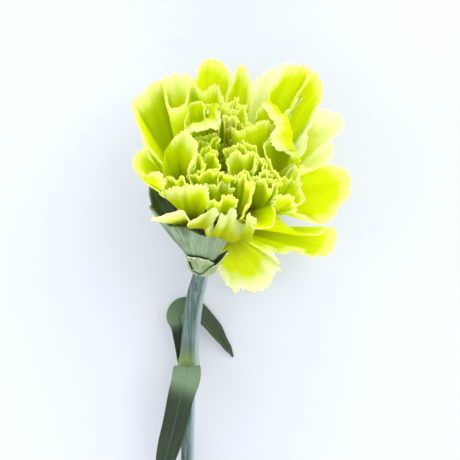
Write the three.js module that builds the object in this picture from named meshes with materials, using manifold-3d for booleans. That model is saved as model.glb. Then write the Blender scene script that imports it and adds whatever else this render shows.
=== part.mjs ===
// A cut carnation, Dianthus caryophyllus, laid down on a table.
//
// Millimetres, +Z up, with z = 0 the table top and +Y running from the cut end of the stem to the bloom.
// The plant is modelled from its calyx base, where stem and bloom meet, and is then moved so that the
// origin lies in the middle of its footprint. The bloom nods upwards from the table, its outermost lower
// petals lie flat on it, and the stem slopes down to its cut end.
import * as THREE from "three";
import { mergeVertices } from "three/addons/utils/BufferGeometryUtils.js";
import Module from "manifold-3d";

const wasm = await Module();
wasm.setup();

// ---------------------------------------------------------------- driving dimensions

const ORIGIN = [2.3, -44.3, 0]; // the middle of the footprint, counted from the calyx base

const CALYX_BASE_HEIGHT = 16; // the calyx base above the table
const BLOOM_RISE = 33; // degrees, the bloom's axis above the table
const BLOOM_LEAN = 10.7; // degrees, the bloom's axis to the right of +Y

const CUT_END_Y = -152;
const CUT_SLANT = 3.5; // how much longer the stem is along its underside
const CUT_SHARE = 1 / 12; // the share of the stem's length over which the slant dies away
const NODE_Y = [-35, -102]; // the stem's two leaf joints
const NODE_SWELL = 0.95; // how far a leaf joint stands out of the stem
const NODE_REACH = 3.2; // half the length of that swelling
const STEM_SIDES = 12;

const CLEARANCE = 0.42; // between neighbouring pieces
const PETAL_THICKNESS = 0.65;
const LEAF_THICKNESS = 0.8;
const SEPAL_THICKNESS = 0.8;
const BRACT_THICKNESS = 0.62;

// ---------------------------------------------------------------- small helpers

const radians = THREE.MathUtils.degToRad;
const mix = THREE.MathUtils.lerp;
const point = (x, y, z) => new THREE.Vector3(x, y, z);

// A number from 0 to 1 that is always the same for the same seed.
function draw(seed) {
  const value = Math.sin(seed * 12.9898 + 4.1414) * 43758.5453;
  return value - Math.floor(value);
}

// The value at x of a profile of [x, value] pairs, eased between them.
function profile(pairs, x) {
  if (x <= pairs[0][0]) return pairs[0][1];
  for (let i = 1; i < pairs.length; i++) {
    const [x0, y0] = pairs[i - 1];
    const [x1, y1] = pairs[i];
    if (x <= x1) return mix(y0, y1, THREE.MathUtils.smoothstep(x, x0, x1));
  }
  return pairs[pairs.length - 1][1];
}

// The bloom's frame: up is its axis, side is level, and front looks at the sky.
const up = point(
  Math.sin(radians(BLOOM_LEAN)) * Math.cos(radians(BLOOM_RISE)),
  Math.cos(radians(BLOOM_LEAN)) * Math.cos(radians(BLOOM_RISE)),
  Math.sin(radians(BLOOM_RISE)),
);
const side = point(Math.cos(radians(BLOOM_LEAN)), -Math.sin(radians(BLOOM_LEAN)), 0);
const front = side.clone().cross(up);
const calyxBase = point(0, 0, CALYX_BASE_HEIGHT);

// The direction out from the bloom's axis at an azimuth in degrees: 0 is its side, 90 its front.
function outward(azimuth) {
  const a = radians(azimuth);
  return side.clone().multiplyScalar(Math.cos(a)).addScaledVector(front, Math.sin(a));
}

// A place in the bloom, by azimuth, distance from its axis and height above the calyx base.
function inBloom(azimuth, radius, height) {
  return calyxBase.clone().addScaledVector(outward(azimuth), radius).addScaledVector(up, height);
}

// ---------------------------------------------------------------- solids

// A closed solid with its shared vertices merged, from a triangle list.
function solidOf(vertices, triangles) {
  const geometry = new THREE.BufferGeometry();
  geometry.setAttribute("position", new THREE.Float32BufferAttribute(vertices, 3));
  geometry.setIndex(triangles);
  return toManifold(geometry);
}

function toManifold(geometry) {
  const bare = new THREE.BufferGeometry();
  bare.setAttribute("position", geometry.getAttribute("position"));
  bare.setIndex(geometry.index);
  const merged = mergeVertices(bare, 1e-4);
  return new wasm.Manifold(
    new wasm.Mesh({
      numProp: 3,
      vertProperties: new Float32Array(merged.attributes.position.array),
      triVerts: new Uint32Array(merged.index.array),
    }),
  );
}

function toGeometry(solid) {
  const { vertProperties, triVerts } = solid.getMesh();
  const geometry = new THREE.BufferGeometry();
  geometry.setAttribute("position", new THREE.BufferAttribute(vertProperties, 3));
  geometry.setIndex(new THREE.BufferAttribute(triVerts, 1));
  geometry.computeVertexNormals();
  return geometry;
}

// The solids joined in one body. A hollow that the joining seals is filled and a loose scrap dropped.
function joined(solids) {
  const bodies = wasm.Manifold.union(solids).simplify(0.05).decompose();
  return bodies.reduce((a, b) => (b.volume() > a.volume() ? b : a));
}

// A blade: a thin solid whose two faces lie half a thickness either side of a grid of points.
// Both faces are split into the same triangles, and a wall closes them round the edge. Where the blade
// lies on the table its underside is flat.
function blade(rows, thickness) {
  const count = rows.length;
  const across = rows[0].length;
  const at = (i, j) => rows[THREE.MathUtils.clamp(i, 0, count - 1)][THREE.MathUtils.clamp(j, 0, across - 1)];
  const vertices = [];
  for (const offset of [thickness / 2, -thickness / 2]) {
    for (let i = 0; i < count; i++) {
      for (let j = 0; j < across; j++) {
        const along = at(i + 1, j).clone().sub(at(i - 1, j));
        const sideways = at(i, j + 1).clone().sub(at(i, j - 1));
        const normal = sideways.cross(along).normalize();
        const onTable = Math.abs(at(i, j).z - thickness / 2) < 1e-6;
        if (onTable) normal.set(0, 0, Math.sign(normal.z));
        vertices.push(...at(i, j).clone().addScaledVector(normal, offset).toArray());
      }
    }
  }
  const triangles = [];
  const lower = count * across;
  const face = (a, b, c) => {
    triangles.push(a, b, c);
    triangles.push(lower + a, lower + c, lower + b);
  };
  for (let i = 0; i + 1 < count; i++) {
    for (let j = 0; j + 1 < across; j++) {
      const [a, b] = [i * across + j, i * across + j + 1];
      const [c, d] = [a + across, b + across];
      if (2 * j < across - 1) {
        face(a, b, d);
        face(a, d, c);
      } else {
        face(a, b, c);
        face(b, d, c);
      }
    }
  }
  const edge = [];
  for (let j = 0; j < across; j++) edge.push(j);
  for (let i = 1; i < count; i++) edge.push(i * across + across - 1);
  for (let j = across - 2; j >= 0; j--) edge.push((count - 1) * across + j);
  for (let i = count - 2; i > 0; i--) edge.push(i * across);
  edge.forEach((a, k) => {
    const b = edge[(k + 1) % edge.length];
    triangles.push(a, lower + a, b);
    triangles.push(b, lower + a, lower + b);
  });
  return solidOf(vertices, triangles);
}

// A solid whose skin runs through rings of points, closed by a fan over its first and last ring.
function skin(rings) {
  const sides = rings[0].length;
  const vertices = [];
  for (const ring of rings) for (const p of ring) vertices.push(...p.toArray());
  for (const ring of [rings[0], rings[rings.length - 1]]) {
    const middle = ring.reduce((sum, p) => sum.add(p), point(0, 0, 0)).divideScalar(sides);
    vertices.push(...middle.toArray());
  }
  const triangles = [];
  const [start, end] = [rings.length * sides, rings.length * sides + 1];
  const last = (rings.length - 1) * sides;
  for (let k = 0; k < sides; k++) {
    const next = (k + 1) % sides;
    for (let i = 0; i + 1 < rings.length; i++) {
      const [a, b] = [i * sides + k, i * sides + next];
      triangles.push(a, b, b + sides);
      triangles.push(a, b + sides, a + sides);
    }
    triangles.push(start, next, k);
    triangles.push(end, last + k, last + next);
  }
  return solidOf(vertices, triangles);
}

// Points along a spline with the frame that travels along it without turning about it.
// facing is the way its first normal looks.
function travel(path, steps, facing) {
  const points = path.map((p) => point(...p));
  const curve = new THREE.CatmullRomCurve3(points, false, "catmullrom", 0.5);
  const stations = [];
  let normal = point(...facing);
  for (let i = 0; i <= steps; i++) {
    const t = i / steps;
    const ahead = curve.getPoint(Math.min(1, t + 0.002));
    const behind = curve.getPoint(Math.max(0, t - 0.002));
    const tangent = ahead.sub(behind).normalize();
    normal = normal.clone().addScaledVector(tangent, -normal.dot(tangent)).normalize();
    stations.push({ t, at: curve.getPoint(t), tangent, normal, across: tangent.clone().cross(normal) });
  }
  return stations;
}

// Where a petal or a leaf would sink into the table it bends and lies along it. floor is the lowest height
// that its middle may have.
function laid(height, floor) {
  const ease = 1.2;
  if (height >= floor + ease) return height;
  if (height <= floor - ease) return floor;
  return floor + (height - floor + ease) ** 2 / (4 * ease);
}

// ---------------------------------------------------------------- stem

const STEM_PATH = [
  [-2.2, CUT_END_Y, 2.41],
  [-3.6, -126, 3.6],
  [-4.9, -102, 5.0],
  [-5.4, -70, 7.1],
  [-4.9, -35, 9.2],
  [-3.2, -15, 10.2],
  [-1.6, -7.6, 11.7],
  [-0.62, -3.3, 13.82],
  [0.28, 1.5, CALYX_BASE_HEIGHT + 1.0],
];
const STEM_STEPS = 38;

// The stem's radius at a station: slim below, stouter under the bloom, widened where the calyx sits.
function stemRadius(y) {
  const plain = profile(
    [
      [CUT_END_Y, 2.25],
      [-70, 2.15],
      [-44, 2.4],
      [-30, 2.95],
      [-9, 2.9],
      [-4.5, 2.6],
      [-0.3, 2.1],
      [1.5, 1.9],
    ],
    y,
  );
  const swellings = NODE_Y.map((node) => NODE_SWELL * Math.exp(-(((y - node) / NODE_REACH) ** 2)));
  return plain + swellings[0] + swellings[1];
}

function makeStem() {
  const stations = travel(STEM_PATH, STEM_STEPS, [0, 0, 1]);
  const rings = stations.map(({ t, at, tangent, normal, across }) => {
    const radius = stemRadius(at.y);
    const ring = [];
    for (let k = 0; k < STEM_SIDES; k++) {
      const angle = (k / STEM_SIDES) * 2 * Math.PI;
      const p = at
        .clone()
        .addScaledVector(normal, radius * Math.cos(angle))
        .addScaledVector(across, radius * Math.sin(angle));
      // The cut end is slanted, and the rings after it straighten step by step.
      const slant = Math.max(0, 1 - t / CUT_SHARE) * (CUT_SLANT / 2);
      ring.push(p.addScaledVector(tangent, slant * (Math.cos(angle) - 1)));
    }
    return ring;
  });
  return skin(rings);
}

// ---------------------------------------------------------------- leaves

// A leaf is a blade that clasps the stem at its root, flattens to a shallow keel and tapers to a point.
// Each follows a path of its own; facing is the way the root's inner face looks, which is at the stem, and
// shape is how wide it is along its length.
const LEAVES = {
  leaf_upper_front: {
    path: [
      [-5.1, -40.4, 13.1],
      [-5.1, -37.2, 14.0],
      [-5.1, -34.8, 15.6],
      [-5.2, -35.2, 17.8],
      [-5.6, -38.6, 18.7],
      [-7.2, -44, 18.2],
      [-9.6, -54.5, 15.6],
      [-12.4, -65, 11.6],
      [-15.4, -76, 6.4],
      [-18.2, -87, 1.3],
    ],
    facing: [0, 0, -1],
    width: 9.4,
  },
  leaf_upper_back: {
    path: [
      [-5.3, -39.5, 4.4],
      [-5.5, -35, 4.2],
      [-6.2, -28.5, 4.8],
      [-7.2, -22, 5.4],
      [-7.6, -18.2, 4.6],
      [-5.0, -16.4, 2.2],
      [-1.6, -17.6, 1.1],
      [2.6, -21.9, 0.5],
      [6.5, -27.2, 0.3],
      [10.2, -32.6, 0.3],
    ],
    facing: [0, 0, 1],
    width: 9.2,
    shape: [[0, 0.8], [0.12, 0.72], [0.3, 0.8], [0.43, 1.08], [0.6, 1.22], [0.8, 0.98], [0.93, 0.52], [1, 0.08]],
  },
  leaf_lower_left: {
    path: [
      [-8.6, -107, 5.0],
      [-8.9, -102, 5.3],
      [-12.5, -98.5, 6.6],
      [-19, -97, 7.4],
      [-27, -97.6, 6.2],
      [-35, -100, 3.4],
      [-42, -103.5, -0.6],
    ],
    facing: [1, 0, 0],
    width: 8.2,
  },
  leaf_lower_right: {
    path: [
      [-1.1, -107, 4.8],
      [-0.8, -102, 5.1],
      [2.6, -97.5, 6.6],
      [9, -92.5, 7.6],
      [18, -88, 7.0],
      [28, -85.6, 4.2],
      [38, -85.2, -0.6],
    ],
    facing: [-1, 0, 0],
    width: 8.2,
  },
};
const LEAF_STEPS = 20;
const LEAF_COLUMNS = 4;
const LEAF_SHAPE = [[0, 0.86], [0.12, 0.8], [0.4, 1], [0.7, 0.84], [1, 0.07]]; // half-width along its length
const CLASP = 3.9; // the radius to which a leaf's root is bent
// The root wraps round the stem; further out only a shallow keel is left.
const LEAF_BEND = [[0, 1 / CLASP], [0.1, 1 / CLASP], [0.24, 0.03], [1, 0.05]];

function makeLeaf({ path, facing, width, shape = LEAF_SHAPE }) {
  const rows = travel(path, LEAF_STEPS, facing).map(({ t, at, normal, across }) => {
    const half = (width / 2) * profile(shape, t);
    const bend = profile(LEAF_BEND, t);
    const row = [];
    for (let j = 0; j <= LEAF_COLUMNS; j++) {
      const reach = mix(-half, half, j / LEAF_COLUMNS);
      const place = at.clone().addScaledVector(across, Math.sin(reach * bend) / bend);
      place.addScaledVector(normal, (1 - Math.cos(reach * bend)) / bend);
      place.z = laid(place.z, LEAF_THICKNESS / 2);
      row.push(place);
    }
    return row;
  });
  return blade(rows, LEAF_THICKNESS);
}

// ---------------------------------------------------------------- calyx and bracts

const CALYX = {
  foot: 0.8, // height of its lower edge above the end of the stem
  rim: 17.5, // where its teeth part
  tooth: 6, // how far a tooth stands above the rim
  teeth: 4,
  columns: 22,
  split: 4.6, // up to this height the split is a mere slit
  from: [-21, 52], // azimuths of its split edge, at the foot and at the rim
  to: [331, 212], // azimuths of its other edge, at the foot and at the rim
};

const TOOTH_STEP = 3; // the last row of the calyx is counted this far above its rim

// The middle of the calyx wall is this far from the bloom's axis. It has burst: its left side has folded
// wide open, while what is left of it on the right still stands up straight. The split runs down to its
// foot, where its two edges all but meet.
function calyxRadius(height, azimuth) {
  const open = mix(0.45, 1.58, ((1 - Math.cos(radians(azimuth))) / 2) ** 0.75);
  return profile([[0.5, 2.9], [2.5, 3.5]], height) + open * Math.max(0, height - 2.3) ** 0.8;
}

// How much further along the level than square to its slope the calyx wall is crossed.
function calyxStretch(height, azimuth) {
  const slope = (calyxRadius(height + 0.4, azimuth) - calyxRadius(height - 0.4, azimuth)) / 0.8;
  return Math.sqrt(1 + slope * slope);
}

function makeCalyx() {
  const top = CALYX.rim + TOOTH_STEP;
  const levels = [CALYX.foot, 2.4, CALYX.split, 7, 10, 13, 15.5, CALYX.rim, top];
  const rows = levels.map((level) => {
    const row = [];
    const share = THREE.MathUtils.clamp((level - CALYX.split) / (CALYX.rim - CALYX.split), 0, 1);
    const from = mix(CALYX.from[0], CALYX.from[1], share);
    const to = mix(CALYX.to[0], CALYX.to[1], share);
    for (let j = 0; j <= CALYX.columns; j++) {
      const azimuth = mix(from, to, j / CALYX.columns);
      const inTooth = 1 - Math.abs((((j / CALYX.columns) * CALYX.teeth) % 1) * 2 - 1);
      const past = Math.max(0, level - CALYX.rim) / TOOTH_STEP;
      const height = Math.min(level, CALYX.rim) + past * inTooth * CALYX.tooth;
      row.push(inBloom(azimuth, calyxRadius(height, azimuth) + 0.2 * inTooth * share, height));
    }
    return row;
  });
  return blade(rows, SEPAL_THICKNESS);
}

// A solid of revolution about the bloom's axis, from [radius, height] pairs that start and end on it.
function turned(outline, sides) {
  const points = outline.map(([radius, height]) => new THREE.Vector2(radius, height));
  const geometry = new THREE.LatheGeometry(points, sides);
  const basis = new THREE.Matrix4().makeBasis(side, up, front);
  geometry.applyMatrix4(basis.setPosition(calyxBase));
  return toManifold(dropSlivers(geometry));
}

// The geometry without the triangles that a lathe folds flat on its axis.
function dropSlivers(geometry) {
  geometry.deleteAttribute("normal");
  geometry.deleteAttribute("uv");
  const merged = mergeVertices(geometry, 1e-4);
  const kept = [];
  const index = merged.index.array;
  for (let i = 0; i < index.length; i += 3) {
    const [a, b, c] = [index[i], index[i + 1], index[i + 2]];
    if (a !== b && b !== c && c !== a) kept.push(a, b, c);
  }
  merged.setIndex(kept);
  return merged;
}

// Two pairs of scales clasp the calyx base: the inner pair in front and behind, the outer at the sides.
const BRACTS = {
  bract_inner_front: { azimuth: 100, layer: 0, height: 7.8, spread: 64 },
  bract_inner_back: { azimuth: 280, layer: 0, height: 7.0, spread: 64 },
  bract_outer_left: { azimuth: 190, layer: 1, height: 2.2, spread: 84 },
  bract_outer_right: { azimuth: 10, layer: 1, height: 6.8, spread: 84 },
};
// How far round a bract reaches along its height. The inner pair bulges, and the outer narrows evenly.
const BRACT_TIP = 0.05;
const BRACT_SHAPE = [[0, 1], [0.45, 0.86], [0.8, 0.42], [1, BRACT_TIP]];
const BRACT_FOOT = -3.4; // the height at which the outer pair leaves the stem
const BRACT_LEDGE = 1.6; // how much higher the inner pair does

function bractRadius(level, azimuth, layer) {
  const stretch = calyxStretch(Math.max(level, 1.2), azimuth);
  const seat = SEPAL_THICKNESS / 2 + CLEARANCE + BRACT_THICKNESS / 2;
  const onCalyx = calyxRadius(level, azimuth) + seat * stretch;
  const onStem = profile([[-4, 3.2], [0.5, 3.95]], level);
  const inner = mix(onStem, onCalyx, THREE.MathUtils.smoothstep(level, -0.5, 1.5));
  const over = layer * (BRACT_THICKNESS + CLEARANCE) * stretch;
  return inner + over * THREE.MathUtils.smoothstep(level, BRACT_FOOT, BRACT_FOOT + 1.3);
}

function makeBract({ azimuth, layer, height, spread }) {
  const steps = 7;
  const columns = 8;
  const foot = BRACT_FOOT + (layer ? 0 : BRACT_LEDGE);
  const rows = [];
  for (let i = 0; i <= steps; i++) {
    const t = i / steps;
    const level = mix(foot, height, t);
    const half = spread * (layer ? mix(1, BRACT_TIP, t) : profile(BRACT_SHAPE, t));
    const row = [];
    for (let j = 0; j <= columns; j++) {
      const turn = azimuth + mix(-half, half, j / columns);
      row.push(inBloom(turn, bractRadius(level, turn, layer), level));
    }
    rows.push(row);
  }
  return blade(rows, BRACT_THICKNESS);
}

// ---------------------------------------------------------------- bloom

// A petal's spine is a parabola through the bloom: it leaves the throat, heads for its bend and comes to
// its tip, each given as a distance from the bloom's axis and a height. It fans out from a narrow claw to
// its toothed edge. at and to are the azimuths where it leaves the throat and where it ends, roll turns
// it about its spine, cup bends its sides inwards and ripple is the height of its waves.
const OUTER_PETALS = [
  { at: 4, to: -2, bend: [21, 38], tip: [42, 38], width: 26, cup: 0.2, ripple: 1.2, roll: 34 },
  { at: 4, to: -9, bend: [26, 22], tip: [42, 13], width: 16, cup: 0.2, ripple: 1.6, roll: 46 },
  { at: -20, to: -33, bend: [23, 10], tip: [15.5, -15.5], width: 25, cup: 0.3, ripple: 1.0, roll: 80 },
  { at: -28, to: -28, bend: [22, 37], tip: [39, 51], width: 21, cup: 0.3, ripple: 1.0, roll: 10 },
  { at: -50, to: -48, bend: [13, 43], tip: [33, 63], width: 23, cup: 0.8, ripple: 0.6, roll: 6 },
  { at: -72, to: -70, bend: [22, 36], tip: [36, 57], width: 22, cup: 0.3, ripple: 0.8, roll: 0 },
  { at: -92, to: -89, bend: [13, 41], tip: [30, 59], width: 13, cup: 0.6, ripple: 0.6, roll: 0 },
  { at: -110, to: -108, bend: [22, 36], tip: [35, 58], width: 23, cup: 0.3, ripple: 0.8, roll: 0 },
  { at: -134, to: -132, bend: [13, 40], tip: [28, 56], width: 19, cup: 0.6, ripple: 1.2, roll: 0 },
  { at: -157, to: -155, bend: [22, 35], tip: [34, 52], width: 24, cup: 0.3, ripple: 1.2, roll: 0 },
  { at: 164, to: 166, bend: [18, 33], tip: [31, 39], width: 20, cup: 0.4, ripple: 1.2, roll: 8 },
  { at: 122, to: 121, bend: [16, 33], tip: [26, 27], width: 15, cup: -0.2, ripple: 1.2, roll: 6 },
  { at: 80, to: 76, bend: [16, 33], tip: [25, 25], width: 21, cup: -0.2, ripple: 2.2, roll: 6 },
  { at: 44, to: 46, bend: [17, 33], tip: [29, 32], width: 19, cup: 0.1, ripple: 1.2, roll: 6 },
  { at: 22, to: 26, bend: [13, 38], tip: [27, 44], width: 17, cup: 0.3, ripple: 1.2, roll: 0 },
  { at: -62, to: -71, bend: [26, 21], tip: [49, 28], width: 18, cup: 0, ripple: 0.4, roll: 0 },
  { at: -96, to: -90, bend: [25, 21], tip: [47, 28], width: 20, cup: 0, ripple: 0.2, roll: 0 },
  { at: -117, to: -109, bend: [26, 21], tip: [49, 28], width: 18, cup: 0, ripple: 0.4, roll: 0 },
];

const OUTER_ROOT = [4.6, 13]; // where they leave the throat

const GOLDEN_ANGLE = 137.508;

// The petals inside these are set by a rule: from petal to petal a whorl gets narrower and more upright.
// Behind they stand further up and in front they lean further out, by rises and leans.
const WHORLS = [
  {
    count: 11,
    first: 111,
    root: [5, 20],
    tip: [[22, 47], [17, 49]],
    width: [17, 14],
    cup: [0.5, 0.8],
    ripple: 1.2,
  },
  {
    count: 7,
    first: 40,
    root: [4, 24],
    tip: [[13, 50], [8, 49]],
    width: [12, 10],
    cup: [0.9, 1.2],
    ripple: 0.8,
  },
  {
    count: 4,
    first: 10,
    root: [2, 27],
    tip: [[4.5, 46], [2.5, 44]],
    width: [6, 5],
    cup: [1.0, 1.2],
    ripple: 0.4,
  },
];
const RISES = [6, 5, 0];
const LEANS = [2.5, 1, 0];
const PETAL_GRID = [
  { columns: 8, steps: 5 },
  { columns: 6, steps: 3 },
  { columns: 4, steps: 3 },
  { columns: 4, steps: 2 },
];

function whorlPetals() {
  const petals = [];
  WHORLS.forEach((whorl, ring) => {
    for (let i = 0; i < whorl.count; i++) {
      const seed = 40 + ring * 30 + i;
      const t = i / (whorl.count - 1);
      const azimuth = whorl.first + i * GOLDEN_ANGLE;
      const forward = Math.sin(radians(azimuth));
      const reach = mix(whorl.tip[0][0], whorl.tip[1][0], t) + draw(seed) - 0.5;
      const radius = reach + LEANS[ring] * forward;
      const level = mix(whorl.tip[0][1], whorl.tip[1][1], t) + 2 * draw(seed + 0.3) - 1;
      const height = level - RISES[ring] * forward;
      petals.push({
        at: azimuth,
        to: azimuth + 16 * (draw(seed + 0.6) - 0.5),
        root: whorl.root,
        bend: [radius * 0.45, mix(whorl.root[1], height, 0.62)],
        tip: [radius, height],
        width: mix(whorl.width[0], whorl.width[1], t),
        cup: mix(whorl.cup[0], whorl.cup[1], draw(seed + 0.9)),
        ripple: whorl.ripple,
        roll: 14,
        seed,
        grid: PETAL_GRID[ring + 1],
      });
    }
  });
  return petals;
}

const PETAL_SHAPE = [[0, 0.1], [0.3, 0.44], [0.75, 1], [1, 1.04]]; // its half-width along its length

function makePetal({ at, to, root, bend, tip, width, cup, ripple, roll, seed, grid }) {
  const { columns, steps } = grid;
  const spine = new THREE.QuadraticBezierCurve3(
    inBloom(at, ...root),
    inBloom(mix(at, to, 0.4), ...bend),
    inBloom(to, ...tip),
  );
  const waves = mix(1.3, 2.1, draw(seed + 2.1));
  const phase = 2 * Math.PI * draw(seed + 2.4);
  const rows = [];
  for (let i = 0; i <= steps; i++) {
    const half = (width / 2) * profile(PETAL_SHAPE, i / steps);
    const bent = cup / half + 1e-6;
    const row = [];
    for (let j = 0; j <= columns; j++) {
      const u = mix(-1, 1, j / columns);
      const tooth = i === steps && j % 2 === 0 ? -0.035 : 0;
      const v = (i / steps) * (1 - 0.3 * u * u) + tooth;
      const place = spine.getPoint(v);
      const tangent = spine.getTangent(v);
      const level = outward(mix(at, to, v) + 90);
      const rolled = level.applyAxisAngle(tangent, radians(roll * Math.min(1, 1.6 * v)));
      const across = rolled.addScaledVector(tangent, -rolled.dot(tangent)).normalize();
      const inward = across.clone().cross(tangent);
      const wave = ripple * v * v * Math.sin(Math.PI * waves * u + phase + 1.2 * v);
      place.addScaledVector(across, Math.sin(u * half * bent) / bent);
      place.addScaledVector(inward, (1 - Math.cos(u * half * bent)) / bent + wave);
      place.z = laid(place.z, PETAL_THICKNESS * 0.5);
      row.push(place);
    }
    rows.push(row);
  }
  return blade(rows, PETAL_THICKNESS);
}

function makeBloom() {
  const heart = turned(
    [
      [0, 2.6],
      [2.3, 2.8],
      [3.0, 5],
      [4.2, 9],
      [5.9, 14],
      [6.4, 20],
      [5.6, 26],
      [3.0, 30],
      [0, 31],
    ],
    16,
  );
  const lobes = OUTER_PETALS.map((petal, i) => ({ ...petal, root: OUTER_ROOT, grid: PETAL_GRID[0], seed: 3 + i }));
  const petals = [...lobes, ...whorlPetals()];
  return joined([heart, ...petals.map(makePetal)]);
}

// ---------------------------------------------------------------- the plant

const petalFinish = new THREE.MeshStandardMaterial({ color: 0xcbe00c, roughness: 0.55, metalness: 0 });
const stemFinish = new THREE.MeshStandardMaterial({ color: 0x6f8478, roughness: 0.6, metalness: 0 });
const leafFinish = new THREE.MeshStandardMaterial({ color: 0x56704f, roughness: 0.6, metalness: 0 });
const calyxFinish = new THREE.MeshStandardMaterial({ color: 0x80926a, roughness: 0.55, metalness: 0 });
const bractFinish = new THREE.MeshStandardMaterial({ color: 0x93a684, roughness: 0.6, metalness: 0 });

const plant = new THREE.Group();
plant.position.set(-ORIGIN[0], -ORIGIN[1], -ORIGIN[2]);

function addPiece(name, solid, finish) {
  const mesh = new THREE.Mesh(toGeometry(solid), finish);
  mesh.name = name;
  plant.add(mesh);
}

addPiece("stem", makeStem(), stemFinish);
for (const [name, leaf] of Object.entries(LEAVES)) addPiece(name, makeLeaf(leaf), leafFinish);
for (const [name, bract] of Object.entries(BRACTS)) addPiece(name, makeBract(bract), bractFinish);
addPiece("calyx", makeCalyx(), calyxFinish);
addPiece("bloom", makeBloom(), petalFinish);

const carnation = new THREE.Group();
carnation.add(plant);

export default carnation;
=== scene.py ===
"""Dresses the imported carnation: its petals, calyx, bracts, leaves and stem, on a plain table."""

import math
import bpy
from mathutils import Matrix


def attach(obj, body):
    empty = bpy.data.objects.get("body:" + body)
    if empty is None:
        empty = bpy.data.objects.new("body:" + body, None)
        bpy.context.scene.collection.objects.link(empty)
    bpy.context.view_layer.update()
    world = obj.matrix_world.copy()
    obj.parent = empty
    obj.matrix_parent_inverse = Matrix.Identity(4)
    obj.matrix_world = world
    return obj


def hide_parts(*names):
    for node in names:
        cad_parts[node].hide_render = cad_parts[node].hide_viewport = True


bl_info = {
    "name": "Cut Carnation",
    "version": (1, 0, 0),
    "blender": (4, 5, 0),
    "location": "3D View > Sidebar > Carnation",
    "description": "Builds the petals, calyx, bracts, leaves and stem of a cut carnation laid on a table",
    "category": "Add Mesh",
}

import bpy
import numpy as np
from bpy.props import FloatProperty, FloatVectorProperty, PointerProperty
from mathutils import Vector

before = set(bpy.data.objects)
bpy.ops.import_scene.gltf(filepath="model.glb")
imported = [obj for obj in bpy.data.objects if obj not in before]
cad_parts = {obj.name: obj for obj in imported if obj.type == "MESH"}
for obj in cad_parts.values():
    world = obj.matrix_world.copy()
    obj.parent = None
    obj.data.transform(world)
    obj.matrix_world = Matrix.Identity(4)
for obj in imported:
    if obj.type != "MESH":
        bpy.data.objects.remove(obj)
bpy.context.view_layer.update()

# ---------------------------------------------------------------- the plant's own dimensions, in mm

MM = 0.001
ORIGIN = np.array([2.3, -44.3, 0.0])  # the row's origin, counted from below the calyx base
CALYX_BASE = np.array([0.0, 0.0, 16.0])
BLOOM_RISE = math.radians(33)
BLOOM_LEAN = math.radians(10.7)

CUT_END_Y = -152.0
CUT_SLANT = 3.5
NODE_Y = (-35.0, -102.0)
NODE_SWELL = 0.95
NODE_REACH = 3.2
STEM_PATH = (
    (-2.2, CUT_END_Y, 2.41),
    (-3.6, -126.0, 3.6),
    (-4.9, -102.0, 5.0),
    (-5.4, -70.0, 7.1),
    (-4.9, -35.0, 9.2),
    (-3.2, -15.0, 10.2),
    (-1.6, -7.6, 11.7),
    (-0.62, -3.3, 13.82),
    (0.28, 1.5, 17.0),
)
STEM_STATIONS = 260
STEM_RADII = (
    (CUT_END_Y, 2.25),
    (-70, 2.15),
    (-44, 2.4),
    (-30, 2.95),
    (-9, 2.9),
    (-4.5, 2.6),
    (-0.3, 2.1),
    (1.5, 1.9),
)

CLEARANCE = 0.42
SEPAL_SEAT = 0.8  # the room that the calyx wall takes
BRACT_SEAT = 0.62  # the room that a bract takes

LEAF_CLASP = 3.9
LEAF_WIDTHS = ((0, 0.86), (0.12, 0.8), (0.4, 1), (0.7, 0.84), (1, 0.07))
LEAF_BENDS = ((0, 1 / LEAF_CLASP), (0.1, 1 / LEAF_CLASP), (0.24, 0.03), (1, 0.05))
LEAF_WAX = ((0, 1), (0.42, 1), (0.62, 0))  # how thick the wax lies along a leaf
LEAVES = {
    "leaf_upper_front": {
        "path": (
            (-5.1, -40.4, 13.1),
            (-5.1, -37.2, 14.0),
            (-5.1, -34.8, 15.6),
            (-5.2, -35.2, 17.8),
            (-5.6, -38.6, 18.7),
            (-7.2, -44, 18.2),
            (-9.6, -54.5, 15.6),
            (-12.4, -65, 11.6),
            (-15.4, -76, 6.4),
            (-18.2, -87, 1.3),
        ),
        "facing": (0, 0, -1),
        "width": 9.4,
    },
    "leaf_upper_back": {
        "path": (
            (-5.3, -39.5, 4.4),
            (-5.5, -35, 4.2),
            (-6.2, -28.5, 4.8),
            (-7.2, -22, 5.4),
            (-7.6, -18.2, 4.6),
            (-5.0, -16.4, 2.2),
            (-1.6, -17.6, 1.1),
            (2.6, -21.9, 0.5),
            (6.5, -27.2, 0.3),
            (10.2, -32.6, 0.3),
        ),
        "facing": (0, 0, 1),
        "width": 9.2,
        "widths": (
            (0, 0.8),
            (0.12, 0.72),
            (0.3, 0.8),
            (0.43, 1.08),
            (0.6, 1.22),
            (0.8, 0.98),
            (0.93, 0.52),
            (1, 0.08),
        ),
        "wax": ((0, 0.2), (0.28, 0.1), (0.4, 1), (0.48, 1), (0.6, 0.45), (1, 0.3)),
    },
    "leaf_lower_left": {
        "path": (
            (-8.6, -107, 5.0),
            (-8.9, -102, 5.3),
            (-12.5, -98.5, 6.6),
            (-19, -97, 7.4),
            (-27, -97.6, 6.2),
            (-35, -100, 3.4),
            (-42, -103.5, -0.6),
        ),
        "facing": (1, 0, 0),
        "width": 8.2,
    },
    "leaf_lower_right": {
        "path": (
            (-1.1, -107, 4.8),
            (-0.8, -102, 5.1),
            (2.6, -97.5, 6.6),
            (9, -92.5, 7.6),
            (18, -88, 7.0),
            (28, -85.6, 4.2),
            (38, -85.2, -0.6),
        ),
        "facing": (-1, 0, 0),
        "width": 8.2,
    },
}

CALYX = {
    "foot": 0.8,
    "rim": 17.5,
    "tooth": 6.0,
    "teeth": 4,
    "split": 4.6,
    "from": (-21.0, 52.0),
    "to": (331.0, 212.0),
}

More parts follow.
